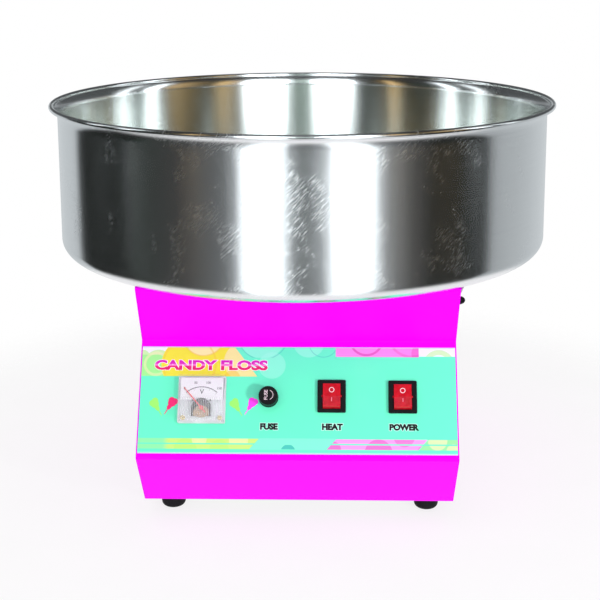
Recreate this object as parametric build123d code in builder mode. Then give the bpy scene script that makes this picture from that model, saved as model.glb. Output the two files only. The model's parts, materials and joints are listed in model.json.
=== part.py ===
from build123d import *

import os
from math import atan2, cos, degrees, radians, sin, tan

# Tabletop cotton candy machine: a steel floss bowl over a folded sheet-metal cabinet.
# Millimetres. +Z is up, the front faces -Y, and the origin is on the floor under the spinner's axis.

# ---------------------------------------------------------------- driving dimensions
sheet = 1.2  # cabinet steel
gap = 0.3  # clearance between pieces that move past each other
running = 0.05  # radial clearance of a running fit
slack = 0.2  # radial clearance of a screw or a stud in its hole

# Cabinet, seen from the side: y is counted forwards from the spinner's axis
cabinet_width = 302
cabinet_back = 135
foot_height = 20
lower_face_rise = 62
panel_rise = 95
upper_face_rise = 61
base_front = 188
panel_foot = 230
panel_head = 165
deck_front = 194
bend_radius = 2.4
return_flange = 11
flange_relief = 3
shaft_opening_clearance = 4

# Bowl
bowl_radius = 254
bowl_depth = 150.5
bowl_gauge = 0.8
bowl_corner_radius = 14
bowl_wall_flare = -2.5
bowl_lip_reach = 5.8
bowl_lip_rise = 12
bowl_bead_radius = 2.5
bowl_hole_clearance = 12  # past the spinner head, so that the bowl lifts off over it
bowl_hole_lip = 9

# Ring on the deck that centres the bowl
collar_height = 14
collar_gauge = 1
collar_flange = 9
collar_throat_clearance = 4
collar_play = 2
collar_throat_lip = 3
collar_rivet_radius = 2

# Domed clamp knobs that hold the bowl's side brackets against bosses on the cheeks
clamp_forward = 95
clamp_below_deck = 40.5
clamp_boss_radius = 5
clamp_boss_length = 5.7
stud_radius = 2
stud_length = 12
knob_base_radius = 4.8
knob_base_length = 1.6
knob_dome_radius = 4.3
knob_dome_length = 6.1
bracket_width = 22
bracket_gauge = 1.2
bracket_foot = 18
bracket_lean = 15
bracket_rise_past_stud = 5
bracket_drop_past_stud = 9

# Sloping control panel: places are counted from its middle, right and up the slope
overlay_gauge = 0.4
overlay_margin = 1.3
overlay_above = 51
overlay_below = 52.5
meter_place = (-90.6, -1.6)
fuse_place = (-27.6, 1.2)
heat_place = (32, 2.8)
power_place = (99, 2.4)

# Rocker switches
switch_wall = 2.5
switch_bezel_lip = 2.6
switch_bezel_height = 2.2
switch_body_depth = 24
rocker_width = 16.6
rocker_swing_radius = 12.1
rocker_pivot_depth = 1.2
rocker_face_height = 1.1
rocker_throw = 20
rocker_pin_radius = 1.5
rocker_pin_length = 1.2
rocker_floor = 6
terminal_blade = (6.3, 0.8, 8)
terminal_pitch = 7.4

# Panel meter
meter_side = 45
meter_base_height = 2.6
meter_cover_height = 12
meter_cover_wall = 1.5
meter_barrel_radius = 19
meter_barrel_depth = 30
meter_stud_radius = 2
meter_stud_length = 12
meter_stud_spread = 9
dial_plate_gauge = 0.5
dial_plate_height = 5
dial_side_margin = 2.4
dial_bottom = -1
dial_notch_radius = 8.8
needle_pivot_below = 8.5
needle_length = 25.5
needle_height = 6.4
needle_gauge = 0.5
needle_rest_angle = 41
needle_hub_radius = 2
needle_arbor_radius = 0.8
coil_side = 8.4
coil_wall = 1.3
magnet_radius = 8.4
magnet_bore_radius = 6.5
meter_screw_inset = 5
meter_screw_radius = 2.2

# Panel fuse
fuse_flange_radius = 9.3
fuse_flange_height = 1.6
fuse_barrel_radius = 6.4
fuse_barrel_depth = 34
fuse_bore_radius = 4.4
fuse_cap_radius = 9.1
fuse_cap_height = 8.6
fuse_stem_radius = 4.1
fuse_stem_length = 7
fuse_nut_across = 17
fuse_nut_height = 3.5
fuse_link_radius = 2.6
fuse_link_length = 20
fuse_end_cap_length = 5
fuse_link_grip = 4

# Motor hung under the deck, fan at the bottom
standoff_length = 46
standoff_radius = 6
standoff_place = 45
mount_plate_gauge = 3
mount_plate_side = 108
motor_side = 90
motor_corner_radius = 14
stator_height = 40
bell_height = 26
bell_wall = 3
rotor_radius = 27
air_gap = 0.6
winding_radii = (30, 41)
winding_height = 9
tie_bolt_place = 36
tie_bolt_radius = 2.5
bearing_race_width = 10
bearing_width = 10
bearing_boss_wall = 3.5
shaft_radius = 6
shaft_below_bell = 14
fan_radius = 40
fan_hub_radius = 12
fan_height = 9
fan_blades = 8

# Slip rings and brushes that feed the heater in the spinner
spool_above_plate = 8
spool_core_wall = 5
spool_disc_stand = 3
spool_disc_gauge = 3
slip_ring_gauge = 10
slip_ring_height = 8
brush_side = 6
brush_length = 15
brush_spring_length = 12
brush_spring_radius = 2.3
brush_spring_wire = 0.35
brush_spring_turns = 5
brush_block_width = 26

# Spinner head
head_lift = 24
head_radius = 72
head_floor = 3
head_rim_height = 16
head_boss_wall = 1.2
head_boss_height = 14
screen_gauge = 0.6
screen_height = 38
screen_slots = 60
screen_slot_width = 2.2
lid_gauge = 1.2
lid_flat_width = 14
lid_mouth_share = 0.375
lid_rise = 13
lid_lip = 3
lid_skirt = 5
heater_inset = 19
heater_tube_radius = 3.1
heater_turns_apart = 13
post_radius = 4
head_bolt_inset = 8.5
head_bolt_radius = 2
hub_nut_wall = 2.5
hub_nut_height = 8
lead_radius = 1.6
lead_clearance = 0.8

# Fasteners and rubber feet
screw_radius = 2
screw_head_radius = 3.8
screw_head_height = 2.4
foot_radius = 12
foot_dome_radius = 5
foot_side_place = 127
foot_front_place = 157
foot_back_place = 112
foot_screw_radius = 2.5

# Mains entry, terminal block and capacitor
gland_place = (98, 62)
gland_bore_radius = 4.2
gland_thread_radius = 8
gland_hex_across = 22
gland_hex_height = 6
gland_dome_length = 12
gland_inside_length = 11
gland_nut_height = 5
block_size = (58, 22, 18)
block_place = (70, 88)
block_ways = 6
capacitor_radius = 19
capacitor_height = 74
capacitor_place = (-96, 84)
strap_gauge = 1
strap_height = 14

# Cooling slots
vent_size = (44, 3.4)
vent_pitch = 9
vent_rows = 8
vent_columns_apart = 74
floor_vent_size = (5, 60)
floor_vent_pitch = 13
floor_vents = 7

# ---------------------------------------------------------------- worked-out levels
half_width = cabinet_width / 2
inner_half = half_width - sheet
base_z = foot_height
crease_low_z = base_z + lower_face_rise
crease_high_z = crease_low_z + panel_rise
deck_z = crease_high_z + upper_face_rise
deck_under_z = deck_z - sheet
floor_z = base_z + sheet  # the base plate's underside
back_inner = cabinet_back - sheet

profile = [
    (-base_front, base_z),
    (-panel_foot, crease_low_z),
    (-panel_head, crease_high_z),
    (-deck_front, deck_z),
]
panel_lean = degrees(atan2(panel_foot - panel_head, panel_rise))
panel_normal = (0, -cos(radians(panel_lean)), sin(radians(panel_lean)))
panel_plane = Plane(
    origin=(0, -(panel_foot + panel_head) / 2, (crease_low_z + crease_high_z) / 2),
    x_dir=(1, 0, 0),
    z_dir=panel_normal,
)

switch_body = (rocker_width + 2 * switch_wall, 2 * (rocker_swing_radius + switch_wall / 2))
switch_bezel = (switch_body[0] + 2 * switch_bezel_lip, switch_body[1] + 1.75 * switch_bezel_lip)

mount_plate_top = deck_under_z - standoff_length
motor_top = mount_plate_top - mount_plate_gauge
stator_top = motor_top - bell_height
stator_bottom = stator_top - stator_height
motor_bottom = stator_bottom - bell_height
shaft_bottom = motor_bottom - shaft_below_bell
bearing_radius = shaft_radius + bearing_race_width
bell_boss_radius = bearing_radius + bearing_boss_wall
hub_nut_across = 2 * (shaft_radius + hub_nut_wall)
lead_place = hub_nut_across / 2 / cos(radians(30)) + lead_radius + lead_clearance
head_boss_radius = lead_place + lead_radius + head_boss_wall
spool_core_radius = head_boss_radius + spool_core_wall
slip_ring_radius = spool_core_radius + slip_ring_gauge
spool_disc_radius = slip_ring_radius + spool_disc_stand
head_bolt_circle = head_radius - head_bolt_inset
lid_flat_inner_radius = head_radius - lid_flat_width
lid_mouth_radius = head_radius * lid_mouth_share
heater_ring_radius = head_radius - heater_inset
bowl_hole_radius = head_radius + bowl_hole_clearance
collar_throat_radius = spool_disc_radius + collar_throat_clearance
shaft_opening_radius = spool_disc_radius + shaft_opening_clearance
spool_bottom = mount_plate_top + spool_above_plate
ring_pitch = slip_ring_height + spool_disc_gauge
spool_top = spool_bottom + 2 * ring_pitch + spool_disc_gauge
ring_levels = [spool_bottom + spool_disc_gauge + n * ring_pitch for n in range(2)]
head_z = deck_z + head_lift
head_boss_top = head_z + head_boss_height
lid_z = head_z + head_floor + screen_height
shaft_top = head_boss_top + hub_nut_height + 4
stud_z = deck_z - clamp_below_deck
stator_corners = [(x * tie_bolt_place, y * tie_bolt_place) for x in (-1, 1) for y in (-1, 1)]
standoff_spots = [(x * standoff_place, y * standoff_place) for x in (-1, 1) for y in (-1, 1)]

pieces = {}


def keep(name, builder):
    """Labels a finished piece and lists it for export under its node name."""
    builder.part.label = name
    pieces[name] = builder.part


def on_panel(place, height=0.0):
    """A plane parallel to the control panel, centred on a place, this far above its steel."""
    return panel_plane.shift_origin(panel_plane.from_local_coords((*place, 0))).offset(height)


# ---------------------------------------------------------------- cabinet sheet metal
vent_columns = [-vent_columns_apart / 2, vent_columns_apart / 2]
foot_spots = [(x * foot_side_place, y) for x in (-1, 1) for y in (-foot_front_place, foot_back_place)]
rear_screw_x = half_width - sheet - return_flange / 2
rear_screw_spots = [
    (x * rear_screw_x, base_z + share * (deck_z - base_z)) for x in (-1, 1) for share in (0.15, 0.5, 0.85)
]
base_screw_spots = [
    (x * rear_screw_x, y) for x in (-1, 1) for y in (-base_front * 0.62, -base_front * 0.1, back_inner * 0.6)
]
collar_rivet_circle = bowl_hole_radius - collar_play - collar_gauge - collar_flange / 2
collar_radius = bowl_hole_radius - collar_play

with BuildPart() as body_wrap:
    with BuildSketch(Plane.YZ):
        with BuildLine() as wrap_line:
            FilletPolyline(
                (-base_front + return_flange, base_z),
                *profile,
                (back_inner, deck_z),
                (back_inner, deck_z - return_flange),
                radius=bend_radius,
            )
            offset(amount=sheet, side=Side.RIGHT)
        make_face()
    extrude(amount=inner_half, both=True)
    with Locations((0, 0, deck_z)):
        Hole(shaft_opening_radius, depth=2 * sheet)
        with PolarLocations(collar_rivet_circle, 4):
            Hole(collar_rivet_radius + slack / 2, depth=2 * sheet)
        with Locations(*standoff_spots):
            Hole(screw_radius + slack, depth=2 * sheet)
    with BuildSketch(panel_plane):
        with Locations(meter_place):
            Circle(meter_barrel_radius + slack)
        with Locations(fuse_place):
            Circle(fuse_barrel_radius + slack)
        with Locations(heat_place, power_place):
            Rectangle(switch_body[0] + 2 * slack, switch_body[1] + 2 * slack)
    extrude(amount=-2 * sheet, mode=Mode.SUBTRACT)
keep("body_wrap", body_wrap)


def side_panel(side):
    """A flat cheek cut to the cabinet's outline, with flanges for the rear panel and the base plate."""
    inner, outer = side * inner_half, side * half_width
    flange_x = side * (inner_half - return_flange / 2 + sheet / 2)
    flange_wide = return_flange - sheet
    with BuildPart() as cheek:
        with BuildSketch(Plane.YZ.offset(inner)):
            with BuildLine():
                corners = (*profile, (back_inner, deck_z), (back_inner, base_z))
                FilletPolyline(*corners, radius=bend_radius, close=True)
            make_face()
        extrude(amount=side * sheet)
        rear_height = deck_z - base_z - 2 * (return_flange + flange_relief)
        with Locations((flange_x, back_inner - sheet / 2, (deck_z + base_z) / 2)):
            Box(flange_wide, sheet, rear_height)
        foot_front = -base_front + return_flange + flange_relief
        foot_back = back_inner - return_flange - flange_relief
        with Locations((flange_x, (foot_front + foot_back) / 2, base_z + sheet / 2)):
            Box(flange_wide, foot_back - foot_front, sheet)
        with BuildSketch(Plane.XZ.offset(-cabinet_back)):
            with Locations(*[spot for spot in rear_screw_spots if spot[0] * side > 0]):
                Circle(screw_radius + slack)
        extrude(amount=3 * sheet, mode=Mode.SUBTRACT)
        with BuildSketch(Plane.XY.offset(base_z)):
            with Locations(*[spot for spot in base_screw_spots if spot[0] * side > 0]):
                Circle(screw_radius + slack)
        extrude(amount=sheet, mode=Mode.SUBTRACT)
        with BuildSketch(Plane.YZ.offset(inner)):
            with Locations((-clamp_forward, stud_z)):
                Circle(stud_radius + slack)
        extrude(amount=outer - inner, mode=Mode.SUBTRACT)
    return cheek


keep("side_panel_left", side_panel(-1))
keep("side_panel_right", side_panel(1))

with BuildPart() as rear_panel:
    with BuildSketch(Plane.XZ.offset(-back_inner)):
        with Locations((0, (base_z + deck_z) / 2)):
            RectangleRounded(cabinet_width, deck_z - base_z, bend_radius)
        with Locations(*[(x, deck_z - 62) for x in vent_columns]):
            with GridLocations(0, vent_pitch, 1, vent_rows):
                SlotOverall(*vent_size, mode=Mode.SUBTRACT)
        with Locations(*rear_screw_spots):
            Circle(screw_radius + slack, mode=Mode.SUBTRACT)
        with Locations(gland_place):
            Circle(gland_thread_radius + slack, mode=Mode.SUBTRACT)
    extrude(amount=-sheet)
keep("rear_panel", rear_panel)

with BuildPart() as base_plate:
    plate_front = -base_front + 2 * bend_radius
    plate_back = back_inner - sheet - gap
    with BuildSketch(Plane.XY.offset(floor_z)):
        with Locations((0, (plate_front + plate_back) / 2)):
            Rectangle(2 * (inner_half - gap), plate_back - plate_front)
        with GridLocations(floor_vent_pitch, 0, floor_vents, 1):
            SlotOverall(floor_vent_size[1], floor_vent_size[0], rotation=90, mode=Mode.SUBTRACT)
        with Locations(*base_screw_spots):
            Circle(screw_radius + slack, mode=Mode.SUBTRACT)
        with Locations(*foot_spots):
            Circle(foot_screw_radius + slack, mode=Mode.SUBTRACT)
    extrude(amount=sheet)
keep("base_plate", base_plate)

with BuildPart() as panel_overlay:
    with BuildSketch(panel_plane):
        with Locations((0, (overlay_above - overlay_below) / 2)):
            Rectangle(cabinet_width - 2 * overlay_margin, overlay_above + overlay_below)
        with Locations(meter_place):
            Circle(meter_barrel_radius + slack, mode=Mode.SUBTRACT)
        with Locations(fuse_place):
            Circle(fuse_barrel_radius + slack, mode=Mode.SUBTRACT)
        with Locations(heat_place, power_place):
            Rectangle(switch_body[0] + 2 * slack, switch_body[1] + 2 * slack, mode=Mode.SUBTRACT)
    extrude(amount=overlay_gauge)
keep("panel_overlay", panel_overlay)


base_screws_seen = [(x, -y) for x, y in base_screw_spots]
screw_sets = [
    (Plane(origin=(0, cabinet_back, 0), x_dir=(-1, 0, 0), z_dir=(0, 1, 0)), rear_screw_spots, 8),
    (Plane(origin=(0, 0, base_z), x_dir=(1, 0, 0), z_dir=(0, 0, -1)), base_screws_seen, 7),
    (Plane.XY.offset(deck_z), standoff_spots, sheet + 8),
]
with BuildPart() as cabinet_screws:
    for plane, spots, grip in screw_sets:
        with BuildSketch(plane):
            with Locations(*spots):
                Circle(screw_head_radius)
        extrude(amount=screw_head_height)
        heads = cabinet_screws.faces().sort_by(Axis((0, 0, 0), plane.z_dir))[-len(spots) :]
        fillet(heads.edges(), screw_head_height * 0.45)
        with BuildSketch(plane.offset(screw_head_height)):
            with Locations(*spots):
                Rectangle(screw_head_radius, screw_head_radius * 0.22)
                Rectangle(screw_head_radius * 0.22, screw_head_radius)
        extrude(amount=-screw_head_height / 2, mode=Mode.SUBTRACT)
        with BuildSketch(plane):
            with Locations(*spots):
                Circle(screw_radius)
        extrude(amount=-grip)
keep("cabinet_screws", cabinet_screws)

with BuildPart() as rubber_feet:
    for spot in foot_spots:
        with BuildSketch(Plane.XY.offset(floor_z)):
            with Locations(spot):
                Circle(foot_radius)
        extrude(amount=-floor_z)
    fillet(rubber_feet.faces().sort_by(Axis.Z)[: len(foot_spots)].edges(), foot_dome_radius)
    with BuildSketch(Plane.XY):
        with Locations(*foot_spots):
            Circle(foot_screw_radius + 2)
    extrude(amount=floor_z - 6, mode=Mode.SUBTRACT)
    with BuildSketch(Plane.XY.offset(floor_z)):
        with Locations(*foot_spots):
            Circle(foot_screw_radius + slack)
    extrude(amount=-6, mode=Mode.SUBTRACT)
keep("rubber_feet", rubber_feet)

with BuildPart() as foot_screws:
    with BuildSketch(Plane.XY.offset(floor_z - 6)):
        with Locations(*foot_spots):
            Circle(foot_screw_radius + 1.8)
    extrude(amount=-3)
    with BuildSketch(Plane.XY.offset(floor_z - 6)):
        with Locations(*foot_spots):
            Circle(foot_screw_radius)
    extrude(amount=6 + sheet + 7)
    with BuildSketch(Plane.XY.offset(floor_z + sheet)):
        with Locations(*foot_spots):
            RegularPolygon(foot_screw_radius * 1.8, 6)
    extrude(amount=4)
keep("foot_screws", foot_screws)

# ---------------------------------------------------------------- bowl and what holds it
with BuildPart() as deck_collar:
    with BuildSketch(Plane.XZ):
        with BuildLine():
            Polyline(
                (collar_radius - collar_gauge - collar_flange, deck_z),
                (collar_radius, deck_z),
                (collar_radius, deck_z + collar_height),
                (collar_throat_radius, deck_z + collar_height + collar_throat_lip),
                (collar_throat_radius, deck_z + collar_height + 2 * collar_throat_lip),
            )
            offset(amount=collar_gauge, side=Side.LEFT)
        make_face()
    revolve(axis=Axis.Z)
    with Locations((0, 0, deck_z + collar_gauge)):
        with PolarLocations(collar_rivet_circle, 4):
            Hole(collar_rivet_radius + slack / 2, depth=2 * collar_gauge)
keep("deck_collar", deck_collar)

with BuildPart() as collar_rivets:
    with BuildSketch(Plane.XY.offset(deck_z + collar_gauge)):
        with PolarLocations(collar_rivet_circle, 4):
            Circle(collar_rivet_radius * 1.8)
    extrude(amount=1.2)
    with BuildSketch(Plane.XY.offset(deck_z + collar_gauge)):
        with PolarLocations(collar_rivet_circle, 4):
            Circle(collar_rivet_radius)
    extrude(amount=-collar_gauge - sheet - 2)
keep("collar_rivets", collar_rivets)

rim_z = deck_z + bowl_depth
wall_foot_z = deck_z + bowl_corner_radius
bead_z = rim_z + bowl_gauge - bowl_bead_radius
wall_top_z = bead_z - bowl_lip_rise
wall_top_radius = bowl_radius + bowl_wall_flare
with BuildPart() as bowl:
    with BuildSketch(Plane.XZ):
        with BuildLine():
            Line((bowl_hole_radius, deck_z + bowl_hole_lip), (bowl_hole_radius, deck_z))
            Line((bowl_hole_radius, deck_z), (bowl_radius - bowl_corner_radius, deck_z))
            corner = TangentArc(
                (bowl_radius - bowl_corner_radius, deck_z), (bowl_radius, wall_foot_z), tangent=(1, 0)
            )
            wall = Line((bowl_radius, wall_foot_z), (wall_top_radius, wall_top_z))
            TangentArc(
                (wall_top_radius, wall_top_z),
                (wall_top_radius + bowl_lip_reach, bead_z),
                tangent=wall % 1,
            )
            offset(amount=bowl_gauge, side=Side.LEFT)
        make_face()
    revolve(axis=Axis.Z)
    with BuildSketch(Plane.XZ):
        with Locations((wall_top_radius + bowl_lip_reach, bead_z)):
            Circle(bowl_bead_radius)
    revolve(axis=Axis.Z)
keep("bowl", bowl)

bracket_inner = half_width + clamp_boss_length + gap
bracket_bottom_z = stud_z - bracket_drop_past_stud
with BuildPart() as bowl_brackets:
    for side in (-1, 1):
        with BuildSketch(Plane.XZ.offset(clamp_forward - bracket_width / 2)):
            with BuildLine():
                FilletPolyline(
                    (side * (bracket_inner + bracket_lean + bracket_foot), deck_z),
                    (side * (bracket_inner + bracket_lean), deck_z),
                    (side * bracket_inner, stud_z + bracket_rise_past_stud),
                    (side * bracket_inner, bracket_bottom_z),
                    radius=1,
                )
                offset(amount=bracket_gauge, side=Side.RIGHT if side < 0 else Side.LEFT)
            make_face()
        extrude(amount=bracket_width)
        with BuildSketch(Plane.YZ.offset(side * bracket_inner)):
            with Locations((-clamp_forward, stud_z)):
                Circle(stud_radius + gap)
            with Locations((-clamp_forward, (stud_z + bracket_bottom_z) / 2)):
                Rectangle(2 * (stud_radius + gap), stud_z - bracket_bottom_z)
        extrude(amount=side * bracket_gauge, mode=Mode.SUBTRACT)
keep("bowl_brackets", bowl_brackets)


def clamp_knob(side):
    """A small domed knob on the stud that passes the bracket, the boss and the cheek."""
    reach = side * (bracket_inner + bracket_gauge + gap)
    base = side * knob_base_length
    tip = base + side * knob_dome_length
    with BuildPart() as knob:
        with BuildSketch(Plane(origin=(reach, -clamp_forward, stud_z), x_dir=(1, 0, 0), z_dir=(0, 1, 0))):
            with BuildLine():
                Polyline(
                    (tip, 0),
                    (-side * stud_length, 0),
                    (-side * stud_length, stud_radius),
                    (0, stud_radius),
                    (0, knob_base_radius),
                    (base, knob_base_radius),
                    (base, knob_dome_radius),
                )
                Bezier(
                    (base, knob_dome_radius),
                    ((base + tip) / 2, knob_dome_radius),
                    (tip, knob_dome_radius * 0.6),
                    (tip, 0),
                )
            make_face()
        revolve(axis=Axis((0, -clamp_forward, stud_z), (1, 0, 0)))
    return knob


keep("clamp_knob_left", clamp_knob(-1))
keep("clamp_knob_right", clamp_knob(1))

with BuildPart() as clamp_bosses:
    for side in (-1, 1):
        with BuildSketch(Plane.YZ.offset(side * half_width)):
            with Locations((-clamp_forward, stud_z)):
                Circle(clamp_boss_radius)
                Circle(stud_radius + running, mode=Mode.SUBTRACT)
        extrude(amount=side * clamp_boss_length)
keep("clamp_bosses", clamp_bosses)

# ---------------------------------------------------------------- control panel fittings
panel_face = overlay_gauge


with BuildPart() as switch_housings:
    for place in (heat_place, power_place):
        face = on_panel(place, panel_face)
        pivot = on_panel(place, panel_face + switch_bezel_height - rocker_pivot_depth)
        well = Plane(origin=pivot.origin, x_dir=pivot.y_dir, z_dir=pivot.x_dir)
        with BuildSketch(face):
            RectangleRounded(*switch_bezel, 1.2)
        extrude(amount=switch_bezel_height)
        with BuildSketch(face):
            Rectangle(*switch_body)
        extrude(amount=-switch_body_depth)
        with BuildSketch(well):
            Circle(rocker_swing_radius + gap)
        extrude(amount=rocker_width / 2 + gap, both=True, mode=Mode.SUBTRACT)
        with BuildSketch(well):
            Circle(rocker_pin_radius + running)
        extrude(amount=rocker_width / 2 + rocker_pin_length + gap, both=True, mode=Mode.SUBTRACT)
keep("switch_housings", switch_housings)


def rocker(place):
    """The lens at OFF: its upper half pressed level with the bezel, its lower half standing out."""
    pivot = on_panel(place, panel_face + switch_bezel_height - rocker_pivot_depth)
    side_view = Plane(origin=pivot.origin, x_dir=pivot.y_dir, z_dir=pivot.x_dir)
    reach = rocker_swing_radius + 2
    middle = rocker_pivot_depth + rocker_face_height
    with BuildPart() as lens:
        with BuildSketch(side_view):
            with BuildLine():
                Polyline(
                    (reach, middle),
                    (0, middle),
                    (-reach, middle + reach * tan(radians(rocker_throw))),
                    (-reach, -rocker_floor),
                    (reach, -rocker_floor),
                    close=True,
                )
            make_face()
            Circle(rocker_swing_radius, mode=Mode.INTERSECT)
        extrude(amount=rocker_width / 2, both=True)
        outer_edges = lens.edges().filter_by(Axis.X).group_by(Axis((0, 0, 0), panel_normal))[-1]
        fillet(outer_edges, 0.9)
        with BuildSketch(side_view):
            Circle(rocker_pin_radius)
        extrude(amount=rocker_width / 2 + rocker_pin_length, both=True)
    return lens


for label, place in (("heat", heat_place), ("power", power_place)):
    keep(f"rocker_{label}", rocker(place))

with BuildPart() as switch_terminals:
    for place in (heat_place, power_place):
        with BuildSketch(on_panel(place, panel_face - switch_body_depth)):
            with GridLocations(0, terminal_pitch, 1, 3):
                Rectangle(terminal_blade[0], terminal_blade[1])
        extrude(amount=-terminal_blade[2])
keep("switch_terminals", switch_terminals)

# Panel meter: everything stands on the overlay at the meter's place
meter_half = meter_side / 2
cavity_half = meter_half - meter_cover_wall
meter_screw_spread = meter_half - meter_screw_inset
pivot_place = (meter_place[0], meter_place[1] - needle_pivot_below)
meter_screw_spots = [(x * meter_screw_spread, -meter_screw_spread) for x in (-1, 1)]

with BuildPart() as meter_case:
    with BuildSketch(on_panel(meter_place, panel_face)):
        RectangleRounded(meter_side, meter_side, 1.5)
    extrude(amount=meter_base_height)
    with BuildSketch(on_panel(meter_place, panel_face)):
        Circle(meter_barrel_radius)
    extrude(amount=-meter_barrel_depth)
    with BuildSketch(on_panel(meter_place, panel_face - meter_barrel_depth)):
        with GridLocations(2 * meter_stud_spread, 0, 2, 1):
            Circle(meter_stud_radius + running)
    extrude(amount=4, mode=Mode.SUBTRACT)
    with BuildSketch(on_panel(meter_place, panel_face + meter_base_height)):
        with Locations(*meter_screw_spots):
            Circle(meter_screw_radius * 0.6)
    extrude(amount=-meter_base_height / 2, mode=Mode.SUBTRACT)
keep("meter_case", meter_case)

with BuildPart() as meter_cover:
    with BuildSketch(on_panel(meter_place, panel_face + meter_base_height)):
        RectangleRounded(meter_side, meter_side, 1.5)
    extrude(amount=meter_cover_height - meter_base_height)
    cover_top = meter_cover.faces().sort_by(Axis((0, 0, 0), panel_normal))[-1]
    chamfer(cover_top.edges(), 1)
    with BuildSketch(on_panel(meter_place, panel_face + meter_base_height)):
        Rectangle(2 * cavity_half, 2 * cavity_half)
    extrude(amount=meter_cover_height - meter_base_height - meter_cover_wall, mode=Mode.SUBTRACT)
keep("meter_cover", meter_cover)

with BuildPart() as meter_dial:
    dial_top = cavity_half - gap
    with BuildSketch(on_panel(meter_place, panel_face + dial_plate_height)):
        with Locations((0, (dial_top + dial_bottom) / 2)):
            Rectangle(meter_side - 2 * dial_side_margin, dial_top - dial_bottom)
        with Locations((0, -needle_pivot_below)):
            Circle(dial_notch_radius + 1, mode=Mode.SUBTRACT)
    extrude(amount=dial_plate_gauge)
    dial_feet_height = dial_plate_height - meter_base_height
    with BuildSketch(on_panel(meter_place, panel_face + meter_base_height)):
        with Locations(*[(x * meter_screw_spread, y) for x in (-1, 1) for y in (2, dial_top - 3)]):
            Circle(1.6)
    extrude(amount=dial_feet_height)
keep("meter_dial", meter_dial)

with BuildPart() as meter_magnet:
    with BuildSketch(on_panel(pivot_place, panel_face + meter_base_height)):
        Circle(magnet_radius)
        Circle(magnet_bore_radius, mode=Mode.SUBTRACT)
    extrude(amount=dial_feet_height - gap)
keep("meter_magnet", meter_magnet)

with BuildPart() as meter_coil:
    with BuildSketch(on_panel(pivot_place, panel_face + meter_base_height + gap)):
        Rectangle(coil_side, coil_side)
        Rectangle(coil_side - 2 * coil_wall, coil_side - 2 * coil_wall, mode=Mode.SUBTRACT)
        Rectangle(coil_side, coil_wall)
        Circle(needle_arbor_radius, mode=Mode.SUBTRACT)
    extrude(amount=dial_feet_height)
keep("meter_coil", meter_coil)

with BuildPart() as meter_needle:
    needle_level = on_panel(pivot_place, panel_face + needle_height)
    with BuildSketch(Plane(needle_level.location * Rotation(0, 0, needle_rest_angle))):
        with BuildLine():
            Polyline(
                (-0.7, -6),
                (0.7, -6),
                (0.7, 0),
                (0.25, needle_length),
                (-0.25, needle_length),
                (-0.7, 0),
                close=True,
            )
        make_face()
        Circle(needle_hub_radius)
    extrude(amount=needle_gauge)
    with BuildSketch(on_panel(pivot_place, panel_face + meter_base_height + gap)):
        Circle(needle_arbor_radius)
    extrude(amount=needle_height - meter_base_height)
keep("meter_needle", meter_needle)

with BuildPart() as meter_screws:
    with BuildSketch(on_panel(meter_place, panel_face + meter_base_height)):
        with Locations(*meter_screw_spots):
            Circle(meter_screw_radius)
    extrude(amount=1.6)
    with BuildSketch(on_panel(meter_place, panel_face + meter_base_height + 1.6)):
        with Locations(*meter_screw_spots):
            Rectangle(2 * meter_screw_radius, 0.6)
    extrude(amount=-0.7, mode=Mode.SUBTRACT)
    with BuildSketch(on_panel(meter_place, panel_face + meter_base_height)):
        with Locations(*meter_screw_spots):
            Circle(meter_screw_radius * 0.6 - running)
    extrude(amount=-meter_base_height / 2 + running)
    stud_root = panel_face - meter_barrel_depth
    with BuildSketch(on_panel(meter_place, stud_root + 4 - running)):
        with GridLocations(2 * meter_stud_spread, 0, 2, 1):
            Circle(meter_stud_radius)
    extrude(amount=-4 - meter_stud_length)
    with BuildSketch(on_panel(meter_place, stud_root)):
        with GridLocations(2 * meter_stud_spread, 0, 2, 1):
            RegularPolygon(3.9, 6)
    extrude(amount=-3.2)
keep("meter_screws", meter_screws)

# Panel fuse
with BuildPart() as fuse_holder:
    with BuildSketch(on_panel(fuse_place, panel_face)):
        Circle(fuse_flange_radius)
    extrude(amount=fuse_flange_height)
    fillet(fuse_holder.faces().sort_by(Axis((0, 0, 0), panel_normal))[-1].edges(), 0.6)
    with BuildSketch(on_panel(fuse_place, panel_face)):
        Circle(fuse_barrel_radius)
    extrude(amount=-fuse_barrel_depth)
    with BuildSketch(on_panel(fuse_place, panel_face + fuse_flange_height)):
        Circle(fuse_bore_radius)
    extrude(amount=-fuse_barrel_depth, mode=Mode.SUBTRACT)
keep("fuse_holder", fuse_holder)

with BuildPart() as fuse_nut:
    with BuildSketch(on_panel(fuse_place, -sheet)):
        RegularPolygon(fuse_nut_across / 2, 6, major_radius=False)
        Circle(fuse_barrel_radius + running, mode=Mode.SUBTRACT)
    extrude(amount=-fuse_nut_height)
keep("fuse_nut", fuse_nut)

fuse_seat = panel_face + fuse_flange_height
with BuildPart() as fuse_cap:
    with BuildSketch(on_panel(fuse_place, fuse_seat)):
        Circle(fuse_cap_radius)
        with PolarLocations(fuse_cap_radius + 0.35, 32):
            Circle(0.6, mode=Mode.SUBTRACT)
    extrude(amount=fuse_cap_height)
    with BuildSketch(on_panel(fuse_place, fuse_seat)):
        Circle(fuse_stem_radius)
    extrude(amount=-fuse_stem_length)
    with BuildSketch(on_panel(fuse_place, fuse_seat - fuse_stem_length)):
        Circle(fuse_link_radius)
    extrude(amount=fuse_link_grip, mode=Mode.SUBTRACT)
keep("fuse_cap", fuse_cap)

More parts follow.
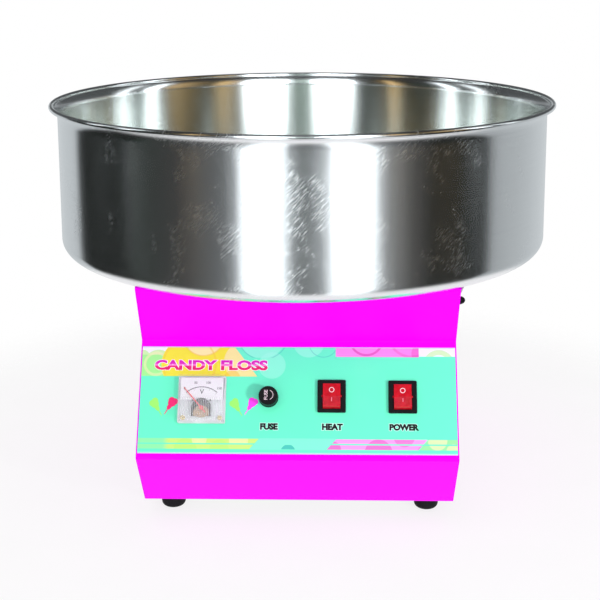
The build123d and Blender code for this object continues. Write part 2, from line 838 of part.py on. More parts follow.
link_top = fuse_seat - fuse_stem_length + fuse_link_grip
with BuildPart() as fuse_link:
    with BuildSketch(on_panel(fuse_place, link_top)):
        Circle(fuse_link_radius)
    extrude(amount=-fuse_link_length)
    with BuildSketch(on_panel(fuse_place, link_top - fuse_end_cap_length)):
        Circle(fuse_link_radius)
        Circle(fuse_link_radius - 0.3, mode=Mode.SUBTRACT)
    extrude(amount=-fuse_link_length + 2 * fuse_end_cap_length, mode=Mode.SUBTRACT)
keep("fuse_link", fuse_link)

# ---------------------------------------------------------------- motor
with BuildPart() as standoffs:
    with BuildSketch(Plane.XY.offset(mount_plate_top)):
        with Locations(*standoff_spots):
            RegularPolygon(standoff_radius, 6)
    extrude(amount=standoff_length)
    with BuildSketch(Plane.XY.offset(deck_under_z)):
        with Locations(*standoff_spots):
            Circle(screw_radius + slack / 2)
    extrude(amount=-10, mode=Mode.SUBTRACT)
keep("standoffs", standoffs)

with BuildPart() as mount_plate:
    with BuildSketch(Plane.XY.offset(motor_top)):
        RectangleRounded(mount_plate_side, mount_plate_side, 8)
        Circle(bearing_radius, mode=Mode.SUBTRACT)
        with Locations(*stator_corners):
            Circle(tie_bolt_radius + slack, mode=Mode.SUBTRACT)
    extrude(amount=mount_plate_gauge)
keep("mount_plate", mount_plate)


with BuildPart() as motor_bells:
    for open_z, up in ((stator_top, 1), (stator_bottom, -1)):
        rim = Plane.XY.offset(open_z)
        seat = Plane.XY.offset(open_z + up * (bell_height - bell_wall - bearing_width))
        with BuildSketch(rim):
            RectangleRounded(motor_side, motor_side, motor_corner_radius)
        extrude(amount=up * bell_height)
        with BuildSketch(rim):
            bell_inside = motor_side - 2 * bell_wall
            RectangleRounded(bell_inside, bell_inside, motor_corner_radius - bell_wall)
        extrude(amount=up * (bell_height - bell_wall), mode=Mode.SUBTRACT)
        with BuildSketch(seat):
            Circle(bell_boss_radius)
        extrude(amount=up * (bearing_width + bell_wall))
        with BuildSketch(seat):
            Circle(bearing_radius)
        extrude(amount=up * bearing_width, mode=Mode.SUBTRACT)
        with BuildSketch(rim):
            Circle(shaft_radius + 2)
            with Locations(*stator_corners):
                Circle(tie_bolt_radius + slack)
        extrude(amount=up * bell_height, mode=Mode.SUBTRACT)
        with BuildSketch(Plane.XZ.offset(-motor_side / 2)):
            with Locations((0, open_z + up * bell_height * 0.5)):
                with GridLocations(14, 0, 4, 1):
                    RectangleRounded(7, 11, 2)
        extrude(amount=bell_wall, mode=Mode.SUBTRACT)
        with BuildSketch(Plane.XZ.offset(motor_side / 2)):
            with Locations((0, open_z + up * bell_height * 0.5)):
                with GridLocations(14, 0, 4, 1):
                    RectangleRounded(7, 11, 2)
        extrude(amount=-bell_wall, mode=Mode.SUBTRACT)
keep("motor_bells", motor_bells)

with BuildPart() as stator:
    with BuildSketch(Plane.XY.offset(stator_bottom)):
        RectangleRounded(motor_side, motor_side, motor_corner_radius)
        Circle(rotor_radius + air_gap, mode=Mode.SUBTRACT)
        with Locations(*stator_corners):
            Circle(tie_bolt_radius + slack, mode=Mode.SUBTRACT)
    extrude(amount=stator_height)
keep("stator", stator)

with BuildPart() as windings:
    for level, up in ((stator_top, 1), (stator_bottom, -1)):
        with BuildSketch(Plane.XY.offset(level)):
            Circle(winding_radii[1])
            Circle(winding_radii[0], mode=Mode.SUBTRACT)
        extrude(amount=up * winding_height)
    fillet(windings.edges().filter_by(GeomType.CIRCLE).group_by(Axis.Z)[-1], 3)
    fillet(windings.edges().filter_by(GeomType.CIRCLE).group_by(Axis.Z)[0], 3)
keep("windings", windings)


with BuildPart() as motor_bearings:
    for level in (motor_top - bell_wall - bearing_width, motor_bottom + bell_wall):
        with BuildSketch(Plane.XY.offset(level)):
            Circle(bearing_radius)
            Circle(shaft_radius + running, mode=Mode.SUBTRACT)
        extrude(amount=bearing_width)
        for face_z, up in ((level, 1), (level + bearing_width, -1)):
            with BuildSketch(Plane.XY.offset(face_z)):
                Circle(bearing_radius * 0.8)
                Circle(bearing_radius * 0.58, mode=Mode.SUBTRACT)
            extrude(amount=up * 0.8, mode=Mode.SUBTRACT)
keep("motor_bearings", motor_bearings)

with BuildPart() as tie_bolts:
    with BuildSketch(Plane.XY.offset(mount_plate_top)):
        with Locations(*stator_corners):
            RegularPolygon(4.6, 6)
    extrude(amount=3.5)
    with BuildSketch(Plane.XY.offset(mount_plate_top)):
        with Locations(*stator_corners):
            Circle(tie_bolt_radius)
    extrude(amount=motor_bottom - 6 - mount_plate_top)
    with BuildSketch(Plane.XY.offset(motor_bottom)):
        with Locations(*stator_corners):
            RegularPolygon(4.6, 6)
    extrude(amount=-4)
keep("tie_bolts", tie_bolts)

# ---------------------------------------------------------------- spinner: all that turns together
with BuildPart() as shaft:
    with BuildSketch(Plane.XY.offset(shaft_bottom)):
        Circle(shaft_radius)
    extrude(amount=shaft_top - shaft_bottom)
    chamfer(shaft.faces().sort_by(Axis.Z)[-1].edges(), 1)
    chamfer(shaft.faces().sort_by(Axis.Z)[0].edges(), 1)
keep("shaft", shaft)

with BuildPart() as rotor:
    with BuildSketch(Plane.XY.offset(stator_bottom)):
        Circle(rotor_radius)
        Circle(shaft_radius, mode=Mode.SUBTRACT)
    extrude(amount=stator_height)
keep("rotor", rotor)

with BuildPart() as cooling_fan:
    fan_bottom = motor_bottom - 3 - fan_height
    with BuildSketch(Plane.XY.offset(fan_bottom)):
        Circle(fan_hub_radius)
    extrude(amount=fan_height)
    for n in range(fan_blades):
        turned = Location((0, 0, fan_bottom + fan_height / 2), (0, 0, 360 / fan_blades * n))
        with BuildSketch(Plane(turned * Rotation(35, 0, 0))):
            with Locations(((fan_hub_radius + fan_radius) / 2 - 1, 0)):
                Rectangle(fan_radius - fan_hub_radius, 9)
        extrude(amount=0.6, both=True)
    with BuildSketch(Plane.XY.offset(fan_bottom)):
        Circle(shaft_radius)
    extrude(amount=fan_height, mode=Mode.SUBTRACT)
keep("cooling_fan", cooling_fan)

with BuildPart() as slip_ring_spool:
    with BuildSketch(Plane.XY.offset(spool_bottom)):
        Circle(spool_core_radius)
    extrude(amount=spool_top - spool_bottom)
    for n in range(3):
        with BuildSketch(Plane.XY.offset(spool_bottom + n * ring_pitch)):
            Circle(spool_disc_radius)
        extrude(amount=spool_disc_gauge)
    with BuildSketch(Plane.XY.offset(spool_top)):
        Circle(head_boss_radius)
    extrude(amount=head_z - spool_top)
    with BuildSketch(Plane.XY.offset(spool_bottom)):
        Circle(shaft_radius)
        with GridLocations(2 * lead_place, 0, 2, 1):
            Circle(lead_radius)
    extrude(amount=head_z - spool_bottom, mode=Mode.SUBTRACT)
keep("slip_ring_spool", slip_ring_spool)

with BuildPart() as slip_rings:
    for level in ring_levels:
        with BuildSketch(Plane.XY.offset(level)):
            Circle(slip_ring_radius)
            Circle(spool_core_radius, mode=Mode.SUBTRACT)
        extrude(amount=slip_ring_height)
keep("slip_rings", slip_rings)

with BuildPart() as head_pan:
    with BuildSketch(Plane.XZ):
        with BuildLine():
            Polyline(
                (shaft_radius, head_z),
                (head_radius - 4, head_z),
                (head_radius, head_z + 4),
                (head_radius, head_z + head_rim_height),
                (head_radius - 1.6, head_z + head_rim_height),
                (head_radius - 1.6, head_z + head_floor + 2),
                (head_radius - 3.6, head_z + head_floor),
                (head_boss_radius + 3, head_z + head_floor),
                (head_boss_radius, head_z + head_floor + 3),
                (head_boss_radius, head_boss_top),
                (shaft_radius, head_boss_top),
                close=True,
            )
        make_face()
    revolve(axis=Axis.Z)
    with BuildSketch(Plane.XY.offset(head_z)):
        with PolarLocations(head_bolt_circle, 3, start_angle=30):
            Circle(head_bolt_radius + slack)
        with GridLocations(2 * lead_place, 0, 2, 1):
            Circle(lead_radius)
    extrude(amount=head_boss_height, mode=Mode.SUBTRACT)
keep("head_pan", head_pan)

screen_radius = head_radius - 1.6
with BuildPart() as head_screen:
    with BuildSketch(Plane.XY.offset(head_z + head_floor + 2)):
        Circle(screen_radius)
        Circle(screen_radius - screen_gauge, mode=Mode.SUBTRACT)
    extrude(amount=screen_height - 2)
    slot_bottom = head_z + head_rim_height + 1.5
    slot_top = lid_z - lid_skirt - 1.5
    with Locations((0, 0, (slot_bottom + slot_top) / 2)):
        with PolarLocations(screen_radius, screen_slots):
            Box(4, screen_slot_width, slot_top - slot_bottom, mode=Mode.SUBTRACT)
keep("head_screen", head_screen)

with BuildPart() as head_lid:
    with BuildSketch(Plane.XZ):
        with BuildLine():
            Polyline(
                (head_radius, lid_z - lid_skirt),
                (head_radius, lid_z + lid_gauge),
                (lid_flat_inner_radius, lid_z + lid_gauge),
                (lid_mouth_radius, lid_z + lid_rise),
                (lid_mouth_radius, lid_z + lid_rise + lid_lip),
            )
            offset(amount=lid_gauge, side=Side.LEFT)
        make_face()
    revolve(axis=Axis.Z)
    with BuildSketch(Plane.XY.offset(lid_z)):
        with PolarLocations(head_bolt_circle, 3, start_angle=30):
            Circle(head_bolt_radius + slack)
    extrude(amount=2 * lid_gauge, mode=Mode.SUBTRACT)
keep("head_lid", head_lid)

with BuildPart() as head_bolts:
    with BuildSketch(Plane.XY.offset(lid_z + lid_gauge)):
        with PolarLocations(head_bolt_circle, 3, start_angle=30):
            RegularPolygon(3.9, 6)
    extrude(amount=3.2)
    with BuildSketch(Plane.XY.offset(lid_z + lid_gauge)):
        with PolarLocations(head_bolt_circle, 3, start_angle=30):
            Circle(head_bolt_radius)
    extrude(amount=6)
    with BuildSketch(Plane.XY.offset(head_z)):
        with PolarLocations(head_bolt_circle, 3, start_angle=30):
            Circle(head_bolt_radius)
    extrude(amount=lid_z + lid_gauge - head_z)
    with BuildSketch(Plane.XY.offset(head_z)):
        with PolarLocations(head_bolt_circle, 3, start_angle=30):
            Circle(head_bolt_radius + 1.8)
    extrude(amount=-2.4)
keep("head_bolts", head_bolts)

with BuildPart() as hub_nut:
    with BuildSketch(Plane.XY.offset(head_boss_top)):
        RegularPolygon(hub_nut_across / 2, 6, major_radius=False)
        Circle(shaft_radius, mode=Mode.SUBTRACT)
    extrude(amount=hub_nut_height)
keep("hub_nut", hub_nut)

heater_levels = [lid_z - 9 - n * heater_turns_apart for n in (1, 0)]
with BuildPart() as heater_elements:
    for level in heater_levels:
        with BuildSketch(Plane.XZ):
            with Locations((heater_ring_radius, level)):
                Circle(heater_tube_radius)
        revolve(axis=Axis.Z)
keep("heater_elements", heater_elements)

post_circle = heater_ring_radius - heater_tube_radius - post_radius - 0.2
with BuildPart() as ceramic_posts:
    with BuildSketch(Plane.XY.offset(head_z + head_floor)):
        with PolarLocations(post_circle, 4, start_angle=45):
            Circle(post_radius)
    extrude(amount=screen_height - 6)
    for level in heater_levels:
        with BuildSketch(Plane.XZ):
            with Locations((heater_ring_radius, level)):
                Circle(heater_tube_radius + 0.1)
        revolve(axis=Axis.Z, mode=Mode.SUBTRACT)
keep("ceramic_posts", ceramic_posts)

with BuildPart() as heater_leads:
    with BuildSketch(Plane.XY.offset(ring_levels[1])):
        with GridLocations(2 * lead_place, 0, 2, 1):
            Circle(lead_radius - running)
    extrude(amount=head_boss_top + 3 - ring_levels[1])
keep("heater_leads", heater_leads)

# ---------------------------------------------------------------- brushes
brush_mid_z = [level + slip_ring_height / 2 for level in ring_levels]
brush_tip = slip_ring_radius + gap
block_front = brush_tip + 4
block_back = brush_tip + brush_length + brush_spring_length - 1
with BuildPart() as brush_block:
    with BuildSketch(Plane.XY.offset(mount_plate_top)):
        with Locations((0, (block_front + block_back) / 2 + 1)):
            Rectangle(brush_block_width, block_back - block_front - 2)
    extrude(amount=ring_levels[1] + slip_ring_height + 2 - mount_plate_top)
    with BuildSketch(Plane.XZ.offset(-block_front)):
        with Locations(*[(0, z) for z in brush_mid_z]):
            Rectangle(brush_side + 2 * running, brush_side + 2 * running)
    extrude(amount=-(brush_length + brush_spring_length - 4), mode=Mode.SUBTRACT)
    with BuildSketch(Plane.XZ.offset(-block_back)):
        with Locations(*[(0, z) for z in brush_mid_z]):
            Circle(brush_side * 0.7)
    extrude(amount=-2.5)
keep("brush_block", brush_block)

with BuildPart() as carbon_brushes:
    with BuildSketch(Plane.XZ.offset(-brush_tip)):
        with Locations(*[(0, z) for z in brush_mid_z]):
            Rectangle(brush_side, brush_side)
    extrude(amount=-brush_length)
keep("carbon_brushes", carbon_brushes)

with BuildPart() as brush_springs:
    for z in brush_mid_z:
        coil_start = (0, brush_tip + brush_length + brush_spring_wire + slack, z)
        coil_length = brush_spring_length - 4
        with BuildLine() as coil:
            Helix(
                coil_length / brush_spring_turns, coil_length, brush_spring_radius, coil_start, (0, 1, 0)
            )
        with BuildSketch(Plane(origin=coil.line @ 0, z_dir=coil.line % 0)):
            Circle(brush_spring_wire)
        sweep(path=coil.line)
keep("brush_springs", brush_springs)

# ---------------------------------------------------------------- mains entry and inside fittings
gland_face = Plane(origin=(gland_place[0], cabinet_back, gland_place[1]), x_dir=(1, 0, 0), z_dir=(0, 1, 0))
with BuildPart() as gland_body:
    with BuildSketch(gland_face):
        RegularPolygon(gland_hex_across / 2, 6, major_radius=False)
    extrude(amount=gland_hex_height)
    with BuildSketch(gland_face):
        Circle(gland_thread_radius)
    extrude(amount=-gland_inside_length)
    with BuildSketch(gland_face.offset(gland_hex_height)):
        Circle(gland_bore_radius)
    extrude(amount=-gland_hex_height - gland_inside_length, mode=Mode.SUBTRACT)
keep("gland_body", gland_body)

with BuildPart() as gland_nuts:
    with BuildSketch(gland_face.offset(gland_hex_height)):
        Circle(gland_hex_across / 2 - 0.6)
    extrude(amount=gland_dome_length)
    fillet(gland_nuts.faces().sort_by(Axis.Y)[-1].edges(), 5)
    with BuildSketch(gland_face.offset(gland_hex_height)):
        Circle(gland_bore_radius)
    extrude(amount=gland_dome_length, mode=Mode.SUBTRACT)
    with BuildSketch(gland_face.offset(gland_hex_height)):
        with PolarLocations(gland_hex_across / 2, 6):
            Rectangle(3, 5)
    extrude(amount=gland_dome_length * 0.5, mode=Mode.SUBTRACT)
    with BuildSketch(gland_face.offset(-sheet)):
        RegularPolygon(gland_hex_across / 2, 6, major_radius=False)
        Circle(gland_thread_radius + running, mode=Mode.SUBTRACT)
    extrude(amount=-gland_nut_height)
keep("gland_nuts", gland_nuts)

plate_top = floor_z + sheet
with BuildPart() as terminal_block:
    with BuildSketch(Plane.XY.offset(plate_top)):
        with Locations(block_place):
            Rectangle(block_size[0], block_size[1])
    extrude(amount=block_size[2])
    with BuildSketch(Plane.XY.offset(plate_top + block_size[2])):
        with Locations(block_place):
            with GridLocations(block_size[0] / block_ways, 0, block_ways, 1):
                Circle(2.6)
    extrude(amount=-6, mode=Mode.SUBTRACT)
    with BuildSketch(Plane.XZ.offset(-(block_place[1] - block_size[1] / 2))):
        with Locations((block_place[0], plate_top + 6)):
            with GridLocations(block_size[0] / block_ways, 0, block_ways, 1):
                Circle(2)
    extrude(amount=-block_size[1], mode=Mode.SUBTRACT)
keep("terminal_block", terminal_block)

with BuildPart() as terminal_screws:
    with BuildSketch(Plane.XY.offset(plate_top + block_size[2] - 6)):
        with Locations(block_place):
            with GridLocations(block_size[0] / block_ways, 0, block_ways, 1):
                Circle(2.4)
    extrude(amount=4)
keep("terminal_screws", terminal_screws)

with BuildPart() as capacitor:
    with BuildSketch(Plane.XY.offset(plate_top)):
        with Locations(capacitor_place):
            Circle(capacitor_radius)
    extrude(amount=capacitor_height)
    fillet(capacitor.faces().sort_by(Axis.Z)[-1].edges(), 2)
    with BuildSketch(Plane.XY.offset(plate_top + capacitor_height)):
        with Locations(capacitor_place):
            with GridLocations(14, 0, 2, 1):
                Rectangle(*terminal_blade[:2])
    extrude(amount=terminal_blade[2])
keep("capacitor", capacitor)

with BuildPart() as capacitor_strap:
    strap_z = plate_top + capacitor_height * 0.4
    with BuildSketch(Plane.XY.offset(strap_z)):
        with Locations(capacitor_place):
            Circle(capacitor_radius + strap_gauge)
            Circle(capacitor_radius, mode=Mode.SUBTRACT)
    extrude(amount=strap_height)
    leg_x = capacitor_place[0] + capacitor_radius + strap_gauge / 2
    with Locations((leg_x + 3, capacitor_place[1], (plate_top + strap_z) / 2 + strap_height / 2)):
        Box(strap_gauge, 12, strap_z + strap_height - plate_top)
    with Locations((leg_x + 1.5, capacitor_place[1], strap_z + strap_height / 2)):
        Box(3, 12, strap_height)
    with BuildSketch(Plane.XY.offset(strap_z)):
        with Locations(capacitor_place):
            Circle(capacitor_radius)
    extrude(amount=strap_height, mode=Mode.SUBTRACT)
    with Locations((leg_x + 9, capacitor_place[1], plate_top + strap_gauge / 2)):
        Box(12, 12, strap_gauge)
keep("capacitor_strap", capacitor_strap)

# ---------------------------------------------------------------- export
os.makedirs("parts", exist_ok=True)
for name, piece in pieces.items():
    export_step(piece, f"parts/{name}.step")
print(len(pieces), "nodes; panel leans", round(panel_lean, 2), "deg; rim at", rim_z)
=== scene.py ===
import json
from math import atan2, cos, degrees, pi, radians, sin, tau

import bpy
from bpy.props import FloatProperty, FloatVectorProperty, IntProperty, PointerProperty, StringProperty
from mathutils import Euler, Matrix, Vector


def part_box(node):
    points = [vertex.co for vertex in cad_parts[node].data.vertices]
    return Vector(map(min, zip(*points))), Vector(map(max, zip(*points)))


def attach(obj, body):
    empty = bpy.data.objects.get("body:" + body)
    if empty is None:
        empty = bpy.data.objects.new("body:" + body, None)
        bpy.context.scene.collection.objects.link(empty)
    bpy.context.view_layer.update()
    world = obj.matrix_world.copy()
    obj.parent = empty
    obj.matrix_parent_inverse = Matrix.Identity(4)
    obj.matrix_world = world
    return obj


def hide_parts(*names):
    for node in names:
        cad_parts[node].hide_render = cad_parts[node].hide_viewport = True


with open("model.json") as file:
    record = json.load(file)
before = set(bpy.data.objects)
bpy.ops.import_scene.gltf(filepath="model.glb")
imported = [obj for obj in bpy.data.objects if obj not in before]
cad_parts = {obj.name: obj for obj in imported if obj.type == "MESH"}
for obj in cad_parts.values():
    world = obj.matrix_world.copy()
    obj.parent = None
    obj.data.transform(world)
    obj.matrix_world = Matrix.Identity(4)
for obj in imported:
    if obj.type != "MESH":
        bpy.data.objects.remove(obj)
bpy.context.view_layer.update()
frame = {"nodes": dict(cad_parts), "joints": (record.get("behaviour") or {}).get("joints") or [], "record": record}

# Dresses the cotton candy machine: spun bowl, printed panel, meter, switches and finishes.
bl_info = {
    "name": "Cotton Candy Machine",
    "version": (1, 0, 0),
    "blender": (4, 5, 0),
    "location": "View3D > Sidebar > Candy",
    "description": "Builds the visible detail and finishes of a tabletop cotton candy machine",
    "category": "Object",
}

MM = 0.001

# The studio seen in the steel, by bearing from the viewer's side: degrees, brightness and tint
# (c cool, p plain, o olive, g gold). The lower ring shows in the wall's outside, the upper one inside.
BELOW_HORIZON = (
    (-180, 0.70, "c"),
    (-126, 0.60, "c"),
    (-121, 0.008, "o"),
    (-84, 0.008, "o"),
    (-80, 0.03, "o"),
    (-54, 0.04, "p"),
    (-34, 0.14, "c"),
    (-27, 0.30, "c"),
    (-24, 1.9, "c"),
    (-8, 1.9, "c"),
    (-5, 0.10, "c"),
    (8, 0.20, "c"),
    (13, 0.30, "c"),
    (16, 1.9, "c"),
    (33, 1.7, "c"),
    (37, 0.28, "c"),
    (52, 0.06, "p"),
    (62, 0.008, "o"),
    (92, 0.008, "o"),
    (99, 0.42, "c"),
    (140, 0.62, "c"),
    (180, 0.70, "c"),
)
ABOVE_HORIZON = (
    (-180, 0.10, "c"),
    (-122, 0.08, "c"),
    (-108, 0.03, "o"),
    (-102, 2.4, "c"),
    (-96, 0.03, "o"),
    (-86, 0.03, "o"),
    (-82, 4.0, "c"),
    (-77, 0.03, "o"),
    (-54, 0.02, "o"),
    (-48, 1.2, "g"),
    (-43, 0.03, "g"),
    (-28, 0.04, "o"),
    (-22, 6.5, "c"),
    (-7, 6.5, "c"),
    (-3, 0.5, "o"),
    (8, 0.3, "o"),
    (12, 6.5, "c"),
    (30, 6.5, "c"),
    (35, 0.04, "g"),
    (44, 1.0, "g"),
    (52, 0.03, "o"),
    (74, 0.6, "g"),
    (80, 0.04, "o"),
    (86, 4.0, "c"),
    (92, 0.04, "o"),
    (100, 0.04, "o"),
    (105, 2.4, "c"),
    (112, 0.04, "o"),
    (125, 0.08, "c"),
    (180, 0.10, "c"),
)


# ------------------------------------------------------------------ where things are on the sloping panel
def middle(node):
    low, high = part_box(node)
    return (low + high) / 2


def joint(name):
    return next(j for j in frame["joints"] if j["name"] == name)


PANEL_NORMAL = Vector(joint("fuse_cap_pull")["axis"]).normalized()
PANEL_ACROSS = Vector((1, 0, 0))
PANEL_UP = PANEL_NORMAL.cross(PANEL_ACROSS)
PANEL_CENTRE = middle("panel_overlay")
OVERLAY_HALF_GAUGE = 0.2 * MM
OVERLAY_FOOT, OVERLAY_HEAD = (corner.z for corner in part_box("panel_overlay"))
OVERLAY_RISE = OVERLAY_HEAD - OVERLAY_FOOT - 2 * OVERLAY_HALF_GAUGE * PANEL_NORMAL.z
OVERLAY_HEIGHT = OVERLAY_RISE / PANEL_UP.z


def on_panel(point, height=0.0):
    """A matrix standing on the printed face under or over a point, raised by a height in metres."""
    offset = point - PANEL_CENTRE
    offset = offset - PANEL_NORMAL * offset.dot(PANEL_NORMAL)
    origin = PANEL_CENTRE + offset + PANEL_NORMAL * (OVERLAY_HALF_GAUGE + height)
    turn = Matrix((PANEL_ACROSS, PANEL_UP, PANEL_NORMAL)).transposed()
    return Matrix.Translation(origin) @ turn.to_4x4()


def panel_place(across, down):
    """A point on the panel from its middle line and its printed sheet's top edge, in millimetres."""
    return PANEL_CENTRE + PANEL_ACROSS * across * MM + PANEL_UP * (OVERLAY_HEIGHT / 2 - down * MM)


# ------------------------------------------------------------------ modelling helpers
def put_down_tools():
    if bpy.context.object and bpy.context.object.mode != "OBJECT":
        bpy.ops.object.mode_set(mode="OBJECT")
    bpy.ops.object.select_all(action="DESELECT")


def pick(piece):
    put_down_tools()
    piece.select_set(True)
    bpy.context.view_layer.objects.active = piece


def settle(piece, matrix=None):
    """Moves a piece to its place and leaves that place in its mesh."""
    pick(piece)
    if matrix is not None:
        piece.matrix_world = matrix @ piece.matrix_world
    bpy.ops.object.transform_apply(location=True, rotation=True, scale=True)
    return piece


def spun(name, outline, steps, closed=True):
    """A turned body: the outline's (radius, height) points are drawn out of one vertex and spun round Z."""
    put_down_tools()
    bpy.ops.mesh.primitive_plane_add(size=MM, location=(outline[0][0], 0, outline[0][1]))
    piece = bpy.context.object
    piece.name = name
    bpy.ops.object.transform_apply(location=True, rotation=False, scale=False)
    bpy.ops.object.mode_set(mode="EDIT")
    bpy.ops.mesh.select_all(action="SELECT")
    bpy.ops.mesh.merge(type="CENTER")
    loop = outline + outline[:1] if closed else outline
    for start, end in zip(loop, loop[1:]):
        step = (end[0] - start[0], 0, end[1] - start[1])
        bpy.ops.mesh.extrude_region_move(TRANSFORM_OT_translate={"value": step})
    bpy.ops.mesh.select_all(action="SELECT")
    bpy.ops.mesh.spin(steps=steps, angle=tau, center=(0, 0, 0), axis=(0, 0, 1))
    bpy.ops.mesh.select_all(action="SELECT")
    bpy.ops.mesh.remove_doubles(threshold=1e-6)
    bpy.ops.mesh.normals_make_consistent(inside=False)
    bpy.ops.object.mode_set(mode="OBJECT")
    bpy.ops.object.shade_smooth_by_angle(angle=radians(40))
    return piece


def arc(centre, radius, start, end, count):
    """Points along an arc in degrees, ends included."""
    turns = [radians(start + (end - start) * n / count) for n in range(count + 1)]
    return [(centre[0] + radius * cos(t), centre[1] + radius * sin(t)) for t in turns]


def block(name, size, centre=(0, 0, 0), bevel=0.0, segments=2):
    """A block with its edges broken, standing in its own mesh."""
    put_down_tools()
    bpy.ops.mesh.primitive_cube_add(size=1, location=centre)
    piece = bpy.context.object
    piece.name = name
    piece.scale = size
    bpy.ops.object.transform_apply(location=True, rotation=True, scale=True)
    if bevel:
        bpy.ops.object.mode_set(mode="EDIT")
        bpy.ops.mesh.select_all(action="SELECT")
        bpy.ops.mesh.bevel(offset=bevel, segments=segments, affect="EDGES")
        bpy.ops.object.mode_set(mode="OBJECT")
        bpy.ops.object.shade_smooth_by_angle(angle=radians(40))
    return piece


def copied(name, piece, offset=(0, 0, 0)):
    """A copy of a piece with a mesh of its own, moved by an offset."""
    pick(piece)
    bpy.ops.object.duplicate(linked=False)
    twin = bpy.context.view_layer.objects.active
    twin.name = name
    twin.location = Vector(twin.location) + Vector(offset)
    return twin


def joined(name, parts):
    """Several finished parts made one piece."""
    put_down_tools()
    for part in parts:
        part.select_set(True)
    bpy.context.view_layer.objects.active = parts[0]
    if len(parts) > 1:
        bpy.ops.object.join()
    bpy.context.object.name = name
    return bpy.context.object


def lettering(name, words, cap_height, weight=0.0, thickness=0.05 * MM):
    """Raised print: text of this cap height, centred on the origin and made a mesh."""
    put_down_tools()
    bpy.ops.object.text_add()
    text = bpy.context.object
    text.data.body = words
    text.data.align_x = "CENTER"
    text.data.align_y = "CENTER"
    text.data.size = cap_height / 0.70
    text.data.offset = weight
    text.data.extrude = thickness / 2
    text.data.resolution_u = 4
    bpy.ops.object.convert(target="MESH")
    text = bpy.context.object
    text.name = name
    low = min(v.co.y for v in text.data.vertices)
    high = max(v.co.y for v in text.data.vertices)
    text.location = (0, -(low + high) / 2, thickness / 2)
    bpy.ops.object.transform_apply(location=True, rotation=True, scale=True)
    return text


def disc(name, radius, thickness, centre=(0, 0), stretch=(1, 1), turn=0.0, sides=32):
    """A printed dot: a filled circle drawn out to its thickness."""
    put_down_tools()
    bpy.ops.mesh.primitive_circle_add(vertices=sides, radius=radius, fill_type="NGON")
    piece = bpy.context.object
    piece.name = name
    piece.scale = (stretch[0], stretch[1], 1)
    piece.rotation_euler = (0, 0, turn)
    piece.location = (centre[0], centre[1], 0)
    bpy.ops.object.transform_apply(location=True, rotation=True, scale=True)
    bpy.ops.object.mode_set(mode="EDIT")
    bpy.ops.mesh.select_all(action="SELECT")
    bpy.ops.mesh.extrude_region_move(TRANSFORM_OT_translate={"value": (0, 0, thickness)})
    bpy.ops.mesh.select_all(action="SELECT")
    bpy.ops.mesh.normals_make_consistent(inside=False)
    bpy.ops.object.mode_set(mode="OBJECT")
    return piece


def finish_piece(piece, body, material):
    """Gives a new piece its body and its material."""
    piece.data.materials.clear()
    piece.data.materials.append(material)
    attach(piece, body)
    return piece


# ------------------------------------------------------------------ shader arithmetic
class Wire:
    """A number in a material, so that shader sums read as ordinary arithmetic."""

    def __init__(self, finish, socket):
        self.finish = finish
        self.socket = socket

    def calc(self, operation, *values):
        node = self.finish.add("ShaderNodeMath", {"operation": operation}, dict(enumerate(values)))
        return Wire(self.finish, node.outputs[0])

    def __add__(self, other):
        return self.calc("ADD", self, other)

    __radd__ = __add__

    def __sub__(self, other):
        return self.calc("SUBTRACT", self, other)

    def __rsub__(self, other):
        return self.calc("SUBTRACT", other, self)

    def __mul__(self, other):
        return self.calc("MULTIPLY", self, other)

    __rmul__ = __mul__

    def __truediv__(self, other):
        return self.calc("DIVIDE", self, other)

    def __rtruediv__(self, other):
        return self.calc("DIVIDE", other, self)

    def __neg__(self):
        return self.calc("MULTIPLY", self, -1.0)

    def __abs__(self):
        return self.calc("ABSOLUTE", self)

    def least(self, other):
        return self.calc("MINIMUM", self, other)

    def root(self):
        return self.calc("SQRT", self)

    def part(self):
        return self.calc("FRACT", self)

    def angle_with(self, other):
        return self.calc("ARCTAN2", self, other)

    def ease(self, low, high):
        """0 below low and 1 above high, with a soft step between; the other way round if low is larger."""
        flip = low > high
        settings = {"interpolation_type": "SMOOTHSTEP"}
        inputs = {0: self, 1: min(low, high), 2: max(low, high), 3: float(flip), 4: float(not flip)}
        return Wire(self.finish, self.finish.add("ShaderNodeMapRange", settings, inputs).outputs[0])

    def between(self, low, high, edge):
        return self.ease(low - edge, low + edge) * self.ease(high + edge, high - edge)


